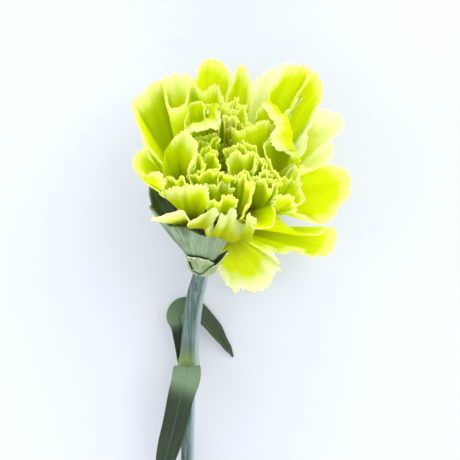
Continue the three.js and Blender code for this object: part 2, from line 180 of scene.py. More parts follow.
BRACT_FOOT = -3.4
BRACT_LEDGE = 1.6  # how much higher the inner bracts start
BRACT_SHAPE = ((0, 1), (0.45, 0.86), (0.8, 0.42), (1, 0.05))  # the inner bracts; the outer ones taper
BRACTS = {
    "bract_inner_front": {"azimuth": 100, "layer": 0, "height": 7.8, "spread": 64},
    "bract_inner_back": {"azimuth": 280, "layer": 0, "height": 7.0, "spread": 64},
    "bract_outer_left": {"azimuth": 190, "layer": 1, "height": 2.2, "spread": 84},
    "bract_outer_right": {"azimuth": 10, "layer": 1, "height": 6.8, "spread": 84},
}

PETAL_FLOOR = 0.325  # how low the middle of a petal's thickness may lie
LEAF_FLOOR = 0.35
GOLDEN_ANGLE = 137.508
PETAL_SHAPE = ((0, 0.1), (0.28, 0.46), (0.66, 1), (1, 1.02))

# ---------------------------------------------------------------- small helpers


def linear_colour(code):
    """The linear RGBA of an sRGB hex colour."""
    channels = [int(code[i : i + 2], 16) / 255 for i in (1, 3, 5)]
    curved = [c / 12.92 if c <= 0.04045 else ((c + 0.055) / 1.055) ** 2.4 for c in channels]
    return (*curved, 1.0)


def draw(seed):
    """A number from 0 to 1 that is always the same for the same seed."""
    value = np.sin(np.asarray(seed, float) * 12.9898 + 4.1414) * 43758.5453
    return value - np.floor(value)


def mix(a, b, share):
    return a + (b - a) * share


def smoothstep(x, low, high):
    t = np.clip((np.asarray(x, float) - low) / (high - low), 0, 1)
    return t * t * (3 - 2 * t)


def profile(pairs, x):
    """The value at x of a profile of (x, value) pairs, eased between them."""
    x = np.asarray(x, float)
    value = np.full(x.shape, float(pairs[0][1]))
    for (x0, y0), (x1, y1) in zip(pairs, pairs[1:]):
        value = np.where(x > x0, mix(y0, y1, smoothstep(x, x0, x1)), value)
    return value


def unit(vectors):
    return vectors / np.linalg.norm(vectors, axis=-1, keepdims=True)


def dot(a, b):
    return np.sum(a * b, axis=-1, keepdims=True)


def turn(vectors, axis, angle):
    """vectors turned about a unit axis by an angle in radians."""
    cosine = np.cos(angle)[..., None]
    sine = np.sin(angle)[..., None]
    return vectors * cosine + np.cross(axis, vectors) * sine + axis * dot(axis, vectors) * (1 - cosine)


UP = np.array(
    [
        math.sin(BLOOM_LEAN) * math.cos(BLOOM_RISE),
        math.cos(BLOOM_LEAN) * math.cos(BLOOM_RISE),
        math.sin(BLOOM_RISE),
    ]
)
SIDE = np.array([math.cos(BLOOM_LEAN), -math.sin(BLOOM_LEAN), 0.0])
FRONT = np.cross(SIDE, UP)


def outward(azimuth):
    """The direction out from the bloom's axis at azimuths in degrees: 0 is its side, 90 its front."""
    a = np.radians(np.asarray(azimuth, float))[..., None]
    return SIDE * np.cos(a) + FRONT * np.sin(a)


def in_bloom(azimuth, radius, height):
    """Places in the bloom by azimuth, distance from its axis and height above the calyx base."""
    radius = np.asarray(radius, float)[..., None]
    height = np.asarray(height, float)[..., None]
    return CALYX_BASE + outward(azimuth) * radius + UP * height


def laid(height, floor):
    """Heights bent so that none lies lower than the floor."""
    ease = 1.2
    eased = floor + (height - floor + ease) ** 2 / (4 * ease)
    return np.where(height >= floor + ease, height, np.where(height <= floor - ease, floor, eased))


def spline_point(path, t):
    """The place at t, from 0 to 1, on the smooth curve through the points of a path."""
    points = np.asarray(path, float)
    count = len(points)
    reach = min(max(t, 0.0), 1.0) * (count - 1)
    index = min(int(reach), count - 2)
    w = reach - index
    before = points[index - 1] if index > 0 else 2 * points[0] - points[1]
    after = points[index + 2] if index + 2 < count else 2 * points[-1] - points[-2]
    a, b = points[index], points[index + 1]
    bent = (2 * before - 5 * a + 4 * b - after) * w * w + (3 * a - before - 3 * b + after) * w**3
    return 0.5 * (2 * a + (b - before) * w + bent)


def travel(path, steps, facing):
    """Places, tangents and level normals at even steps along a path, without turning about it."""
    shares = np.linspace(0, 1, steps + 1)
    places = np.array([spline_point(path, t) for t in shares])
    step = 0.002
    chords = [spline_point(path, t + step) - spline_point(path, t - step) for t in shares]
    tangents = unit(np.array(chords))
    normals = []
    normal = np.asarray(facing, float)
    for tangent in tangents:
        normal = normal - tangent * normal.dot(tangent)
        normal = normal / np.linalg.norm(normal)
        normals.append(normal)
    return shares, places, tangents, np.array(normals)


# ---------------------------------------------------------------- sheets


class Sheet:
    """A grid of places with what its material needs to know at each of them."""

    def __init__(self, places, across, along, **marks):
        self.places = places  # rows x columns x 3, in mm
        self.across = across  # mm from the middle line
        self.along = along  # mm from the root
        self.marks = marks  # name: a value for the whole grid, for each row or for each place


def make_mesh(name, sheets):
    """A mesh object of sheets side by side, in the row frame and metres, with a UV map in mm."""
    vertices, faces, maps = [], [], []
    marks = {key: [] for key in sheets[0].marks}
    first = 0
    for sheet in sheets:
        rows, columns = sheet.places.shape[:2]
        vertices.append(((sheet.places - ORIGIN) * MM).reshape(-1, 3))
        maps.append(np.stack(np.broadcast_arrays(sheet.across, sheet.along), -1).reshape(-1, 2))
        for key, values in sheet.marks.items():
            marks[key].append(np.broadcast_to(values, (rows, columns)).reshape(-1))
        index = first + np.arange(rows * columns).reshape(rows, columns)
        corners = (index[:-1, :-1], index[:-1, 1:], index[1:, 1:], index[1:, :-1])
        faces.append(np.stack(corners, -1).reshape(-1, 4))
        first += rows * columns
    mesh = bpy.data.meshes.new(name)
    mesh.from_pydata(np.concatenate(vertices).tolist(), [], np.concatenate(faces).tolist())
    corners = np.zeros(len(mesh.loops), np.int32)
    mesh.loops.foreach_get("vertex_index", corners)
    mesh.uv_layers.new(name="surface_mm").data.foreach_set("uv", np.concatenate(maps)[corners].ravel())
    for key, values in marks.items():
        layer = mesh.attributes.new(key, "FLOAT", "POINT")
        layer.data.foreach_set("value", np.concatenate(values).astype(np.float32))
    thing = bpy.data.objects.new(name, mesh)
    bpy.context.scene.collection.objects.link(thing)
    return thing


# ---------------------------------------------------------------- node trees


def add(tree, kind, inputs=None, **settings):
    """Adds a node to a tree, with settings, and with values or links for its inputs by name or number."""
    node = tree.nodes.new(kind)
    for name, value in settings.items():
        setattr(node, name, value)
    for key, value in (inputs or {}).items():
        socket = node.inputs[key]
        if isinstance(value, bpy.types.Node):
            value = next(output for output in value.outputs if output.enabled)
        if isinstance(value, bpy.types.NodeSocket):
            tree.links.new(value, socket)
        else:
            socket.default_value = value
    return node


def worked_out(tree, operation, *values):
    """Adds a math node for an operation on some values, and gives its result."""
    return add(tree, "ShaderNodeMath", dict(enumerate(values)), operation=operation).outputs[0]


def start_tree(name, source, result, numbers):
    """A geometry tree with its inputs, the node that gives them, and its output."""
    tree = bpy.data.node_groups.new(name, "GeometryNodeTree")
    sockets = {source: "NodeSocketGeometry", **numbers}
    sockets.update({"Seed": "NodeSocketFloat", "Material": "NodeSocketMaterial"})
    for socket, kind in sockets.items():
        tree.interface.new_socket(socket, in_out="INPUT", socket_type=kind)
    tree.interface.new_socket(result, in_out="OUTPUT", socket_type="NodeSocketGeometry")
    return tree, add(tree, "NodeGroupInput").outputs


def finish_tree(tree, given, shape, result):
    """Shades a tree's shape smooth, makes it real, gives it its material and puts it out."""
    smooth = add(tree, "GeometryNodeSetShadeSmooth", {"Geometry": shape})
    plain = add(tree, "GeometryNodeRealizeInstances", {"Geometry": smooth})
    dressed = add(tree, "GeometryNodeSetMaterial", {"Geometry": plain, "Material": given["Material"]})
    add(tree, "NodeGroupOutput", {result: dressed})
    return tree


def pushed(tree, shape, direction, distance):
    """Moves a shape's points along a direction by a distance."""
    push = add(tree, "ShaderNodeVectorMath", {0: direction, "Scale": distance}, operation="SCALE")
    return add(tree, "GeometryNodeSetPosition", {"Geometry": shape, "Offset": push})


def blade_shell_tree():
    """A tree that crumples a sheet near its margin and gives it a thickness, closed round its edge."""
    numbers = dict.fromkeys(("Thickness", "Crumple Height", "Crumple Size"), "NodeSocketFloat")
    tree, given = start_tree("blade_shell", "Sheet", "Shell", numbers)
    size = worked_out(tree, "DIVIDE", 1.0, given["Crumple Size"])
    noise = add(
        tree,
        "ShaderNodeTexNoise",
        {"W": given["Seed"], "Scale": size, "Detail": 2.0, "Roughness": 0.55},
        noise_dimensions="4D",
    )
    loose = add(tree, "GeometryNodeInputNamedAttribute", {"Name": "loose"}, data_type="FLOAT")
    height = worked_out(tree, "MULTIPLY", worked_out(tree, "SUBTRACT", noise, 0.5), given["Crumple Height"])
    height = worked_out(tree, "MULTIPLY", height, loose)
    normal = add(tree, "GeometryNodeInputNormal")
    crumpled = pushed(tree, given["Sheet"], normal, height)
    # The sheet sinks by half its thickness, and is then drawn out to all of it.
    sunk = pushed(tree, crumpled, normal, worked_out(tree, "MULTIPLY", given["Thickness"], -0.5))
    upper = add(
        tree,
        "GeometryNodeExtrudeMesh",
        {"Mesh": sunk, "Offset Scale": given["Thickness"], "Individual": False},
        mode="FACES",
    )
    lower = add(tree, "GeometryNodeFlipFaces", {"Mesh": sunk})
    both = add(tree, "GeometryNodeJoinGeometry", {"Geometry": upper.outputs["Mesh"]})
    tree.links.new(lower.outputs[0], both.inputs[0])
    closed = add(tree, "GeometryNodeMergeByDistance", {"Geometry": both, "Distance": 1e-6})
    # Nothing lies lower than the table.
    parts = add(tree, "ShaderNodeSeparateXYZ", {0: add(tree, "GeometryNodeInputPosition")}).outputs
    lifted = worked_out(tree, "MAXIMUM", parts["Z"], 0.00001)
    above = add(tree, "ShaderNodeCombineXYZ", {"X": parts["X"], "Y": parts["Y"], "Z": lifted})
    rested = add(tree, "GeometryNodeSetPosition", {"Geometry": closed, "Position": above})
    return finish_tree(tree, given, rested, "Shell")


def noted(tree, shape, name, value, kind="FLOAT"):
    """Stores a value on a shape's points, and gives the shape."""
    inputs = {"Geometry": shape, "Name": name, "Value": value}
    return add(tree, "GeometryNodeStoreNamedAttribute", inputs, data_type=kind, domain="POINT")


def stem_tree():
    """A tree that draws a round stem along a curve, by its radius, and cuts its end on the slant."""
    numbers = {
        "Sides": "NodeSocketInt",
        "Cut Slant": "NodeSocketFloat",
        "Cut Share": "NodeSocketFloat",
        "Ridge Depth": "NodeSocketFloat",
    }
    tree, given = start_tree("stem_tube", "Curve", "Stem", numbers)
    share = add(tree, "GeometryNodeSplineParameter").outputs["Factor"]
    rail = noted(tree, given["Curve"], "along", share)
    rail = noted(tree, rail, "heading", add(tree, "GeometryNodeInputTangent"), "FLOAT_VECTOR")
    rail = add(tree, "GeometryNodeSetCurveNormal", {"Curve": rail}, mode="Z_UP")
    circle = add(
        tree,
        "GeometryNodeCurvePrimitiveCircle",
        {"Resolution": given["Sides"], "Radius": 1.0},
        mode="RADIUS",
    )
    place = add(tree, "GeometryNodeInputPosition")
    ring = noted(tree, circle, "ring_y", add(tree, "ShaderNodeSeparateXYZ", {0: place}).outputs["Y"])
    radius = add(tree, "GeometryNodeInputRadius")
    tube = {"Curve": rail, "Profile Curve": ring, "Scale": radius, "Fill Caps": True}
    tube = add(tree, "GeometryNodeCurveToMesh", tube)
    along = add(tree, "GeometryNodeInputNamedAttribute", {"Name": "along"}, data_type="FLOAT")
    ring_y = add(tree, "GeometryNodeInputNamedAttribute", {"Name": "ring_y"}, data_type="FLOAT")
    heading = add(tree, "GeometryNodeInputNamedAttribute", {"Name": "heading"}, data_type="FLOAT_VECTOR")
    near_cut = {"Value": along, "From Min": 0.0, "From Max": given["Cut Share"], "To Min": 1.0, "To Max": 0.0}
    near_cut = add(tree, "ShaderNodeMapRange", near_cut).outputs[0]
    slant = worked_out(tree, "MULTIPLY", worked_out(tree, "SUBTRACT", ring_y, 1.0), given["Cut Slant"])
    slant = worked_out(tree, "MULTIPLY", worked_out(tree, "MULTIPLY", slant, 0.5), near_cut)
    cut = pushed(tree, tube, heading, slant)
    # Shallow ridges that run with the stem.
    drawn_out = add(tree, "ShaderNodeVectorMath", {0: place, 1: (1.0, 0.06, 1.0)}, operation="MULTIPLY")
    noise = add(
        tree,
        "ShaderNodeTexNoise",
        {"Vector": drawn_out, "W": given["Seed"], "Scale": 900.0, "Detail": 1.0},
        noise_dimensions="4D",
    )
    depth = worked_out(tree, "MULTIPLY", worked_out(tree, "SUBTRACT", noise, 0.5), given["Ridge Depth"])
    ridged = pushed(tree, cut, add(tree, "GeometryNodeInputNormal"), depth)
    return finish_tree(tree, given, ridged, "Stem")


def grow(thing, tree, **values):
    """Runs a tree on an object and leaves the result as a plain mesh object of the same name."""
    modifier = thing.modifiers.new("grow", "NODES")
    modifier.node_group = tree
    for item in tree.interface.items_tree:
        key = item.name.replace(" ", "_").lower()
        if item.in_out == "INPUT" and key in values:
            modifier[item.identifier] = values[key]
    bpy.context.view_layer.update()
    graph = bpy.context.evaluated_depsgraph_get()
    mesh = bpy.data.meshes.new_from_object(thing.evaluated_get(graph), depsgraph=graph)
    name = thing.name
    bpy.data.objects.remove(thing)
    piece = bpy.data.objects.new(name, mesh)
    mesh.name = name
    bpy.context.scene.collection.objects.link(piece)
    return piece


def dress(piece, slot, *nodes):
    """Hands a finished piece to the frame, in place of the nodes that it stands for."""
    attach(piece, "root")
    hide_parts(*nodes)


# ---------------------------------------------------------------- materials


def start_material(name):
    material = bpy.data.materials.new(name)
    material.use_nodes = True
    tree = material.node_tree
    tree.nodes.clear()
    shader = add(tree, "ShaderNodeBsdfPrincipled")
    add(tree, "ShaderNodeOutputMaterial", {"Surface": shader})
    return material, tree, shader


def blend_colours(tree, share, first, second):
    """A colour that goes from the first to the second as share goes from 0 to 1."""
    node = add(tree, "ShaderNodeMix", {0: share, 6: first, 7: second}, data_type="RGBA")
    return node.outputs[2]


def mark(tree, name):
    """What a mesh says at each of its points under a name."""
    return add(tree, "ShaderNodeAttribute", attribute_name=name).outputs["Fac"]


def own_place(tree):
    """The place on the object."""
    return add(tree, "ShaderNodeTexCoord").outputs["Object"]


def noise_over(tree, place, scale, detail, roughness=0.5):
    inputs = {"Vector": place, "Scale": scale, "Detail": detail, "Roughness": roughness}
    return add(tree, "ShaderNodeTexNoise", inputs)


def ranged(tree, value, low, high, first, last):
    """A value spread from the range low to high over the range first to last."""
    inputs = {"Value": value, "From Min": low, "From Max": high, "To Min": first, "To Max": last}
    return add(tree, "ShaderNodeMapRange", inputs).outputs[0]


def eased(tree, value, low, high, most=1.0):
    """A share that goes from 0 at low to the most at high."""
    inputs = {"Value": value, "From Min": low, "From Max": high, "To Min": 0.0, "To Max": most}
    return add(tree, "ShaderNodeMapRange", inputs, interpolation_type="SMOOTHSTEP").outputs[0]


def faded(tree, value, low, high):
    """A share that goes from 1 at low to 0 at high."""
    inputs = {"Value": value, "From Min": low, "From Max": high, "To Min": 1.0, "To Max": 0.0}
    return add(tree, "ShaderNodeMapRange", inputs, interpolation_type="SMOOTHSTEP").outputs[0]


def petal_tissue(settings):
    """Fresh petal: thin, matt and juicy, so light goes through it and its margin pales to cream; painted
    shade darkens it deep in the bloom and on petals given a painted shade.
    """
    material, tree, shader = start_material("petal_tissue")
    tone_and_shade = mark(tree, "tone_and_shade")
    surface = add(tree, "ShaderNodeUVMap", uv_map="surface_mm")
    # Veins fan out along the petal, about 0.9 mm apart.
    lines = add(tree, "ShaderNodeMapping", {"Vector": surface, "Scale": (1.1, 0.045, 1.0)})
    veins = noise_over(tree, lines, 1.0, 3.0, 0.6)
    cloud = noise_over(tree, own_place(tree), 120.0, 2.0)
    # The pale margin is uneven: its reach follows the cloud.
    uneven = ranged(tree, cloud, 0.3, 0.7, 0.65, 1.45)
    near = add(tree, "ShaderNodeMath", {0: mark(tree, "margin"), 1: uneven}, operation="DIVIDE")
    pale = faded(tree, near, 0.0, 1.0)
    # Painted shade: towards their roots, deep in the bloom where shade falls, the petals darken to the throat
    # colour.
    deep = faded(tree, mark(tree, "reach"), 0.1, 0.62)
    body = blend_colours(tree, tone_and_shade, settings.body_cool, settings.body_warm)
    body = blend_colours(tree, deep, body, settings.painted_throat_shade)
    body = blend_colours(tree, ranged(tree, veins, 0.35, 0.7, 0.0, 0.22), body, settings.vein)
    # On the palest outer petals the cream margin is partly their own pale colour and partly painted glare,
    # for light shining through them.
    rim = blend_colours(tree, mark(tree, "pallor"), settings.margin, settings.cream)
    colour = blend_colours(tree, pale, body, rim)
    # Painted shade: a petal given a shade share has its colour multiplied darker here, for the shade it
    # stands in.
    dull = {0: eased(tree, tone_and_shade, 0.0, -1.0), 6: colour, 7: settings.dull}
    colour = add(tree, "ShaderNodeMix", dull, data_type="RGBA", blend_type="MULTIPLY").outputs[2]
    tree.links.new(colour, shader.inputs["Base Color"])
    relief = add(tree, "ShaderNodeBump", {"Height": veins, "Strength": 0.2, "Distance": 0.0004})
    tree.links.new(relief.outputs[0], shader.inputs["Normal"])
    shader.inputs["Roughness"].default_value = 0.58
    shader.inputs["Specular IOR Level"].default_value = 0.12
    shader.inputs["Subsurface Weight"].default_value = 0.5
    shader.inputs["Subsurface Radius"].default_value = (1.0, 1.0, 0.25)
    shader.inputs["Subsurface Scale"].default_value = 0.002
    lit = blend_colours(tree, 0.25, colour, settings.body_warm)
    glow = add(tree, "ShaderNodeBsdfTranslucent", {"Color": lit})
    through = {0: settings.glow, 1: shader.outputs["BSDF"], 2: glow.outputs["BSDF"]}
    through = add(tree, "ShaderNodeMixShader", through)
    output = next(node for node in tree.nodes if node.bl_idname == "ShaderNodeOutputMaterial")
    tree.links.new(through.outputs[0], output.inputs["Surface"])
    return material


def tint(tree, shader, share, colour):
    """Blends one more colour over a material's base colour."""
    base = shader.inputs["Base Color"]
    tree.links.new(blend_colours(tree, share, base.links[0].from_socket, colour), base)


def waxy_green(name, colours, roughness, grain, streaky=0.5):
    """Glaucous green skin under a thin bloom of wax, streaked along its length.

    Its colours are the bare skin's, the waxed skin's and the streaks'."""
    material, tree, shader = start_material(name)
    dark, light, lines = colours
    wax = noise_over(tree, own_place(tree), 90.0, 4.0)
    streaks = noise_over(tree, grain(tree), 1.0, 4.0, 0.6)
    colour = blend_colours(tree, eased(tree, wax, 0.3, 0.72), dark, light)
    colour = blend_colours(tree, eased(tree, streaks, 0.42, 0.66, streaky), colour, lines)
    tree.links.new(colour, shader.inputs["Base Color"])
    relief = add(tree, "ShaderNodeBump", {"Height": streaks, "Strength": 0.3, "Distance": 0.0003})
    tree.links.new(relief.outputs[0], shader.inputs["Normal"])
    rough = ranged(tree, wax, 0.3, 0.7, roughness - 0.07, roughness + 0.1)
    tree.links.new(rough, shader.inputs["Roughness"])
    shader.inputs["Specular IOR Level"].default_value = 0.25
    shader.inputs["Subsurface Weight"].default_value = 0.12
    shader.inputs["Subsurface Radius"].default_value = (0.6, 1.0, 0.5)
    shader.inputs["Subsurface Scale"].default_value = 0.001
    return material, tree, shader


def blade_grain(scale):
    """Streaks along a blade, from its UV map in mm."""

    def grain(tree):
        surface = add(tree, "ShaderNodeUVMap", uv_map="surface_mm")
        return add(tree, "ShaderNodeMapping", {"Vector": surface, "Scale": (*scale, 1.0)})

    return grain


def stem_grain(tree):
    """Streaks along the stem, which runs along Y."""
    return add(tree, "ShaderNodeMapping", {"Vector": own_place(tree), "Scale": (1500.0, 45.0, 1500.0)})


def stem_material(settings):
    """Waxed stem skin, yellower at the nodes, with a painted highlight down its right side, a pale pith and a
    darker ring at its cut end.
    """
    colours = settings.stem_dark, settings.stem_light, settings.stem_line
    material, tree, shader = waxy_green("waxed_stem_skin", colours, 0.5, stem_grain, 0.32)
    place = own_place(tree)
    parts = add(tree, "ShaderNodeSeparateXYZ", {0: place})
    for node in NODE_Y:
        off = worked_out(tree, "SUBTRACT", parts.outputs["Y"], (node + 1 - ORIGIN[1]) * MM)
        off = worked_out(tree, "ABSOLUTE", off)
        tint(tree, shader, eased(tree, off, 0.0065, 0.001, 0.8), settings.node_colour)
    facing = add(tree, "ShaderNodeSeparateXYZ", {0: add(tree, "ShaderNodeNewGeometry").outputs["Normal"]})
    # Painted highlight: the side of the stem that faces the key light on the right is paled towards this
    # colour.
    tint(tree, shader, eased(tree, facing.outputs["X"], 0.3, 0.9, 0.7), settings.stem_wax)
    heart = (np.array(STEM_PATH[0]) - ORIGIN) * MM
    flat = add(tree, "ShaderNodeVectorMath", {0: place, 1: (1.0, 0.0, 1.0)}, operation="MULTIPLY")
    centre = (float(heart[0]), 0.0, float(heart[2]))
    radius = add(tree, "ShaderNodeVectorMath", {0: flat, 1: centre}, operation="DISTANCE").outputs["Value"]
    cut = add(tree, "ShaderNodeMath", {0: facing.outputs["Y"], 1: -0.6}, operation="LESS_THAN")
    rings = blend_colours(tree, eased(tree, radius, 0.0011, 0.0015), settings.pith, settings.cut_ring)
    rings = blend_colours(tree, eased(tree, radius, 0.0017, 0.002), rings, settings.stem_dark)
    tint(tree, shader, cut, rings)
    return material


def leaf_material(settings):
    """Waxed leaf skin: pale where the leaf leaves the stem, with a faint midrib."""
    colours = settings.leaf_dark, settings.leaf_light, settings.leaf_line
    material, tree, shader = waxy_green("waxed_leaf_skin", colours, 0.62, blade_grain((1.3, 0.03)))
    tint(tree, shader, eased(tree, mark(tree, "pallor"), 0.0, 1.0, 0.85), settings.leaf_base)
    surface = add(tree, "ShaderNodeSeparateXYZ", {0: add(tree, "ShaderNodeUVMap", uv_map="surface_mm")})
    off = worked_out(tree, "ABSOLUTE", surface.outputs["X"])
    tint(tree, shader, eased(tree, off, 0.45, 0.15, 0.16), settings.leaf_base)
    return material


def bract_material(settings):
    """Waxed bract skin, with a thin pale margin."""
    colours = settings.bract_dark, settings.bract_light, settings.bract_line
    material, tree, shader = waxy_green("bract_skin", colours, 0.55, blade_grain((2.4, 0.1)))
    tint(tree, shader, eased(tree, mark(tree, "margin"), 0.35, 0.05, 0.8), settings.bract_margin)
    return material


def calyx_material(settings):
    """Waxed calyx skin, with streaks along its ribs."""
    colours = settings.calyx_dark, settings.calyx_light, settings.calyx_line
    return waxy_green("calyx_skin", colours, 0.55, blade_grain((1.2, 0.08)))[0]


# ---------------------------------------------------------------- stem


def stem_radius(y):
    swell = sum(NODE_SWELL * np.exp(-(((y - node) / NODE_REACH) ** 2)) for node in NODE_Y)
    return profile(STEM_RADII, y) + swell


def make_stem(settings):
    places = travel(STEM_PATH, STEM_STATIONS, (0, 0, 1))[1]
    curve = bpy.data.curves.new("stem_line", "CURVE")
    curve.dimensions = "3D"
    spline = curve.splines.new("POLY")
    spline.points.add(len(places) - 1)
    for knot, place in zip(spline.points, places):
        knot.co = (*((place - ORIGIN) * MM), 1.0)
        knot.radius = float(stem_radius(place[1])) * MM
    line = bpy.data.objects.new("stem_skin", curve)
    bpy.context.scene.collection.objects.link(line)
    material = stem_material(settings)
    piece = grow(
        line,
        stem_tree(),
        sides=40,
        cut_slant=CUT_SLANT * MM,
        cut_share=1 / 12,
        ridge_depth=settings.ridge_depth,
        seed=4.0,
        material=material,
    )
    dress(piece, "stem", "stem")


# ---------------------------------------------------------------- leaves, bracts and calyx


def leaf_sheet(path, facing, width, widths=LEAF_WIDTHS, wax=LEAF_WAX):
    rows, columns = 90, 20
    shares, places, tangents, normals = travel(path, rows, facing)
    half = (width / 2 * profile(widths, shares))[:, None]
    bend = profile(LEAF_BENDS, shares)[:, None]
    u = np.linspace(-1, 1, columns + 1)[None, :]
    reach = u * half
    across = np.cross(tangents, normals)[:, None, :]
    upwards = normals[:, None, :]
    keel = 0.35 * np.exp(-((reach / 0.5) ** 2)) * smoothstep(shares, 0.1, 0.3)[:, None]
    grid = places[:, None, :] + across * (np.sin(reach * bend) / bend)[..., None]
    grid = grid + upwards * ((1 - np.cos(reach * bend)) / bend - keel)[..., None]
    grid[..., 2] = laid(grid[..., 2], LEAF_FLOOR)
    length = np.sum(np.linalg.norm(np.diff(places, axis=0), axis=1))
    along = np.broadcast_to((shares * length)[:, None], reach.shape)
    pallor = profile(wax, along / length)
    return Sheet(grid, reach, along, loose=0.0, reach=along / length, pallor=pallor)


def calyx_radius(height, azimuth):
    opened = mix(0.45, 1.58, ((1 - np.cos(np.radians(azimuth))) / 2) ** 0.75)
    return profile(((0.5, 2.9), (2.5, 3.5)), height) + opened * np.maximum(0, height - 2.3) ** 0.8


def calyx_stretch(height, azimuth):
    slope = (calyx_radius(height + 0.4, azimuth) - calyx_radius(height - 0.4, azimuth)) / 0.8
    return np.sqrt(1 + slope * slope)


def calyx_sheet():
    rows, columns = 60, 132
    top = CALYX["rim"] + 3
    level = np.linspace(CALYX["foot"], top, rows + 1)[:, None]
    column = np.linspace(0, 1, columns + 1)[None, :]
    share = np.clip((level - CALYX["split"]) / (CALYX["rim"] - CALYX["split"]), 0, 1)
    start = mix(CALYX["from"][0], CALYX["from"][1], share)
    end = mix(CALYX["to"][0], CALYX["to"][1], share)
    azimuth = mix(start, end, column)
    in_tooth = 1 - np.abs((column * CALYX["teeth"]) % 1 * 2 - 1)
    past = np.maximum(0, level - CALYX["rim"])
    height = level - past + past / 3 * mix(0.42, 1, in_tooth) * CALYX["tooth"]
    ribs = 0.07 * np.sin(np.radians(azimuth) * 26) * smoothstep(height, 2, 7)
    radius = calyx_radius(height, azimuth) + 0.2 * in_tooth * share + ribs
    grid = in_bloom(azimuth, radius, height)
    around = np.radians(azimuth) * 9.0
    return Sheet(grid, around, height, loose=0.0, reach=height / 24)


def bract_radius(level, azimuth, layer):
    stretch = calyx_stretch(np.maximum(level, 1.2), azimuth)
    seat = SEPAL_SEAT / 2 + CLEARANCE + BRACT_SEAT / 2
    on_calyx = calyx_radius(level, azimuth) + seat * stretch
    on_stem = profile(((-4, 3.2), (0.5, 3.95)), level)
    inner = mix(on_stem, on_calyx, smoothstep(level, -0.5, 1.5))
    over = layer * (BRACT_SEAT + CLEARANCE) * stretch
    return inner + over * smoothstep(level, BRACT_FOOT, BRACT_FOOT + 1.3)


def bract_sheet(azimuth, layer, height, spread):
    rows, columns = 36, 32
    foot = BRACT_FOOT + (0 if layer else BRACT_LEDGE)
    t = np.linspace(0, 1, rows + 1)[:, None]
    u = np.linspace(-1, 1, columns + 1)[None, :]
    level = mix(foot, height, t) + 0 * u
    half = spread * (1 - 0.95 * t if layer else profile(BRACT_SHAPE, t))
    around = azimuth + u * half
    rib = 0.05 * np.cos(u * 3.14 * 7) * smoothstep(t, 0.1, 0.4)
    grid = in_bloom(around, bract_radius(level, around, layer) + rib, level)
    margin = (1 - np.abs(u)) * half / 20 + (1 - t) * 0.4
    return Sheet(grid, np.radians(around) * 4.5, level, loose=0.0, reach=t, margin=margin)


# ---------------------------------------------------------------- petals


def petal_sheet(petal, seed, grid, tooth_depth):
    """One petal: a fan of tissue bent along its spine, ruffled and toothed along its margin."""
    columns, rows = grid
    root = petal.get("root", (4.6, 13))
    start = in_bloom(petal["at"], *root)
    middle = in_bloom(mix(petal["at"], petal["to"], 0.4), *petal["bend"])
    end = in_bloom(petal["to"], *petal["tip"])
    length = 0.5 * sum(np.linalg.norm(b - a) for a, b in ((start, middle), (middle, end), (start, end)))
    u = np.linspace(-1, 1, columns + 1)[None, :]
    share = 1 - (1 - np.linspace(0, 1, rows + 1)[:, None]) ** 1.25
    half = petal["width"] / 2 * profile(PETAL_SHAPE, share)
    # Teeth, each with a depth of its own.
    teeth = max(3, round(petal["width"] * 1.04 / petal.get("tooth", 1.9)))
    counted = (u + 1) / 2 * teeth + 0.22 * np.sin(u * 9 + seed)
    within = 1 - np.abs(counted % 1 * 2 - 1)
    depth = tooth_depth * mix(0.45, 1.25, draw(np.floor(counted) + seed * 7.7))
    lobes = petal.get("lobe", 0.8) * (0.5 + 0.5 * np.sin(u * 5.1 + seed * 2.3))
    notch = ((1 - within**0.8) * depth + lobes) / length * smoothstep(share, 0.7, 1)
    v = share * (1 - 0.26 * u * u - 0.1 * u**8) - notch
    a, b, c = (1 - v) ** 2, 2 * v * (1 - v), v**2
    place = a[..., None] * start + b[..., None] * middle + c[..., None] * end
    tangent = unit((1 - v)[..., None] * (middle - start) + v[..., None] * (end - middle))
    level = outward(mix(petal["at"], petal["to"], v) + 90)
    level = turn(level, tangent, np.radians(petal["roll"] * np.minimum(1, 1.6 * v)))
    across = unit(level - tangent * dot(level, tangent))
    inward = np.cross(across, tangent)
    waves = mix(1.3, 2.1, draw(seed + 2.1))
    phase = 2 * math.pi * draw(seed + 2.4)
    wave = petal["ripple"] * v * v * np.sin(math.pi * waves * u + phase + 1.2 * v)
    frill = petal.get("frill", 0.8)
    count = petal["width"] / petal.get("ruffle", 8.5)
    swing = 2.6 * draw(seed + 5.2)
    wave = wave + frill * smoothstep(v, 0.3, 1.0) ** 1.5 * np.sin(math.pi * count * u + swing * v + seed)
    fine = frill * 0.38 * smoothstep(v, 0.6, 1.0) ** 2
    wave = wave + fine * np.sin(math.pi * count * 2.3 * u + seed * 3.1 + 2 * np.sin(3 * u))
    bent = petal["cup"] / half + 1e-6
    lift = (1 - np.cos(u * half * bent)) / bent + wave
    place = place + across * (np.sin(u * half * bent) / bent)[..., None] + inward * lift[..., None]
    place[..., 2] = laid(place[..., 2], PETAL_FLOOR)
    to_tip = (1 - share) * length
    to_side = (1 - np.abs(u)) * half + 9 * smoothstep(share, 0.75, 0.3)
    margin = np.minimum(to_tip, to_side + 0.6)
    pale = petal.get("pale", 4.5)
    pallor = np.clip((pale - 4) / 6, 0, 1)
    loose = smoothstep(share, 0.35, 1.0) * petal.get("loose", 1.0)
    marks = {"margin": margin / pale, "reach": v, "loose": loose, "tone_and_shade": draw(seed + 8.1), "pallor": pallor}
    return Sheet(place, u * half, v * length, **marks)


def lying_petal(at, to, bend, tip, width, ripple):
    """A petal under the bloom: nearly flat, and hardly frilled where the flower rests on it."""
    flat = {"cup": 0, "roll": 0, "frill": 0.25, "loose": 0.3}
    return {"at": at, "to": to, "bend": bend, "tip": tip, "width": width, "ripple": ripple, **flat}


LYING_PETALS = (
    lying_petal(-62, -71, (26, 21), (49, 28), 18, 0.4),
    lying_petal(-96, -90, (25, 21), (47, 28), 20, 0.2),
    lying_petal(-117, -109, (26, 21), (49, 28), 18, 0.4),
)


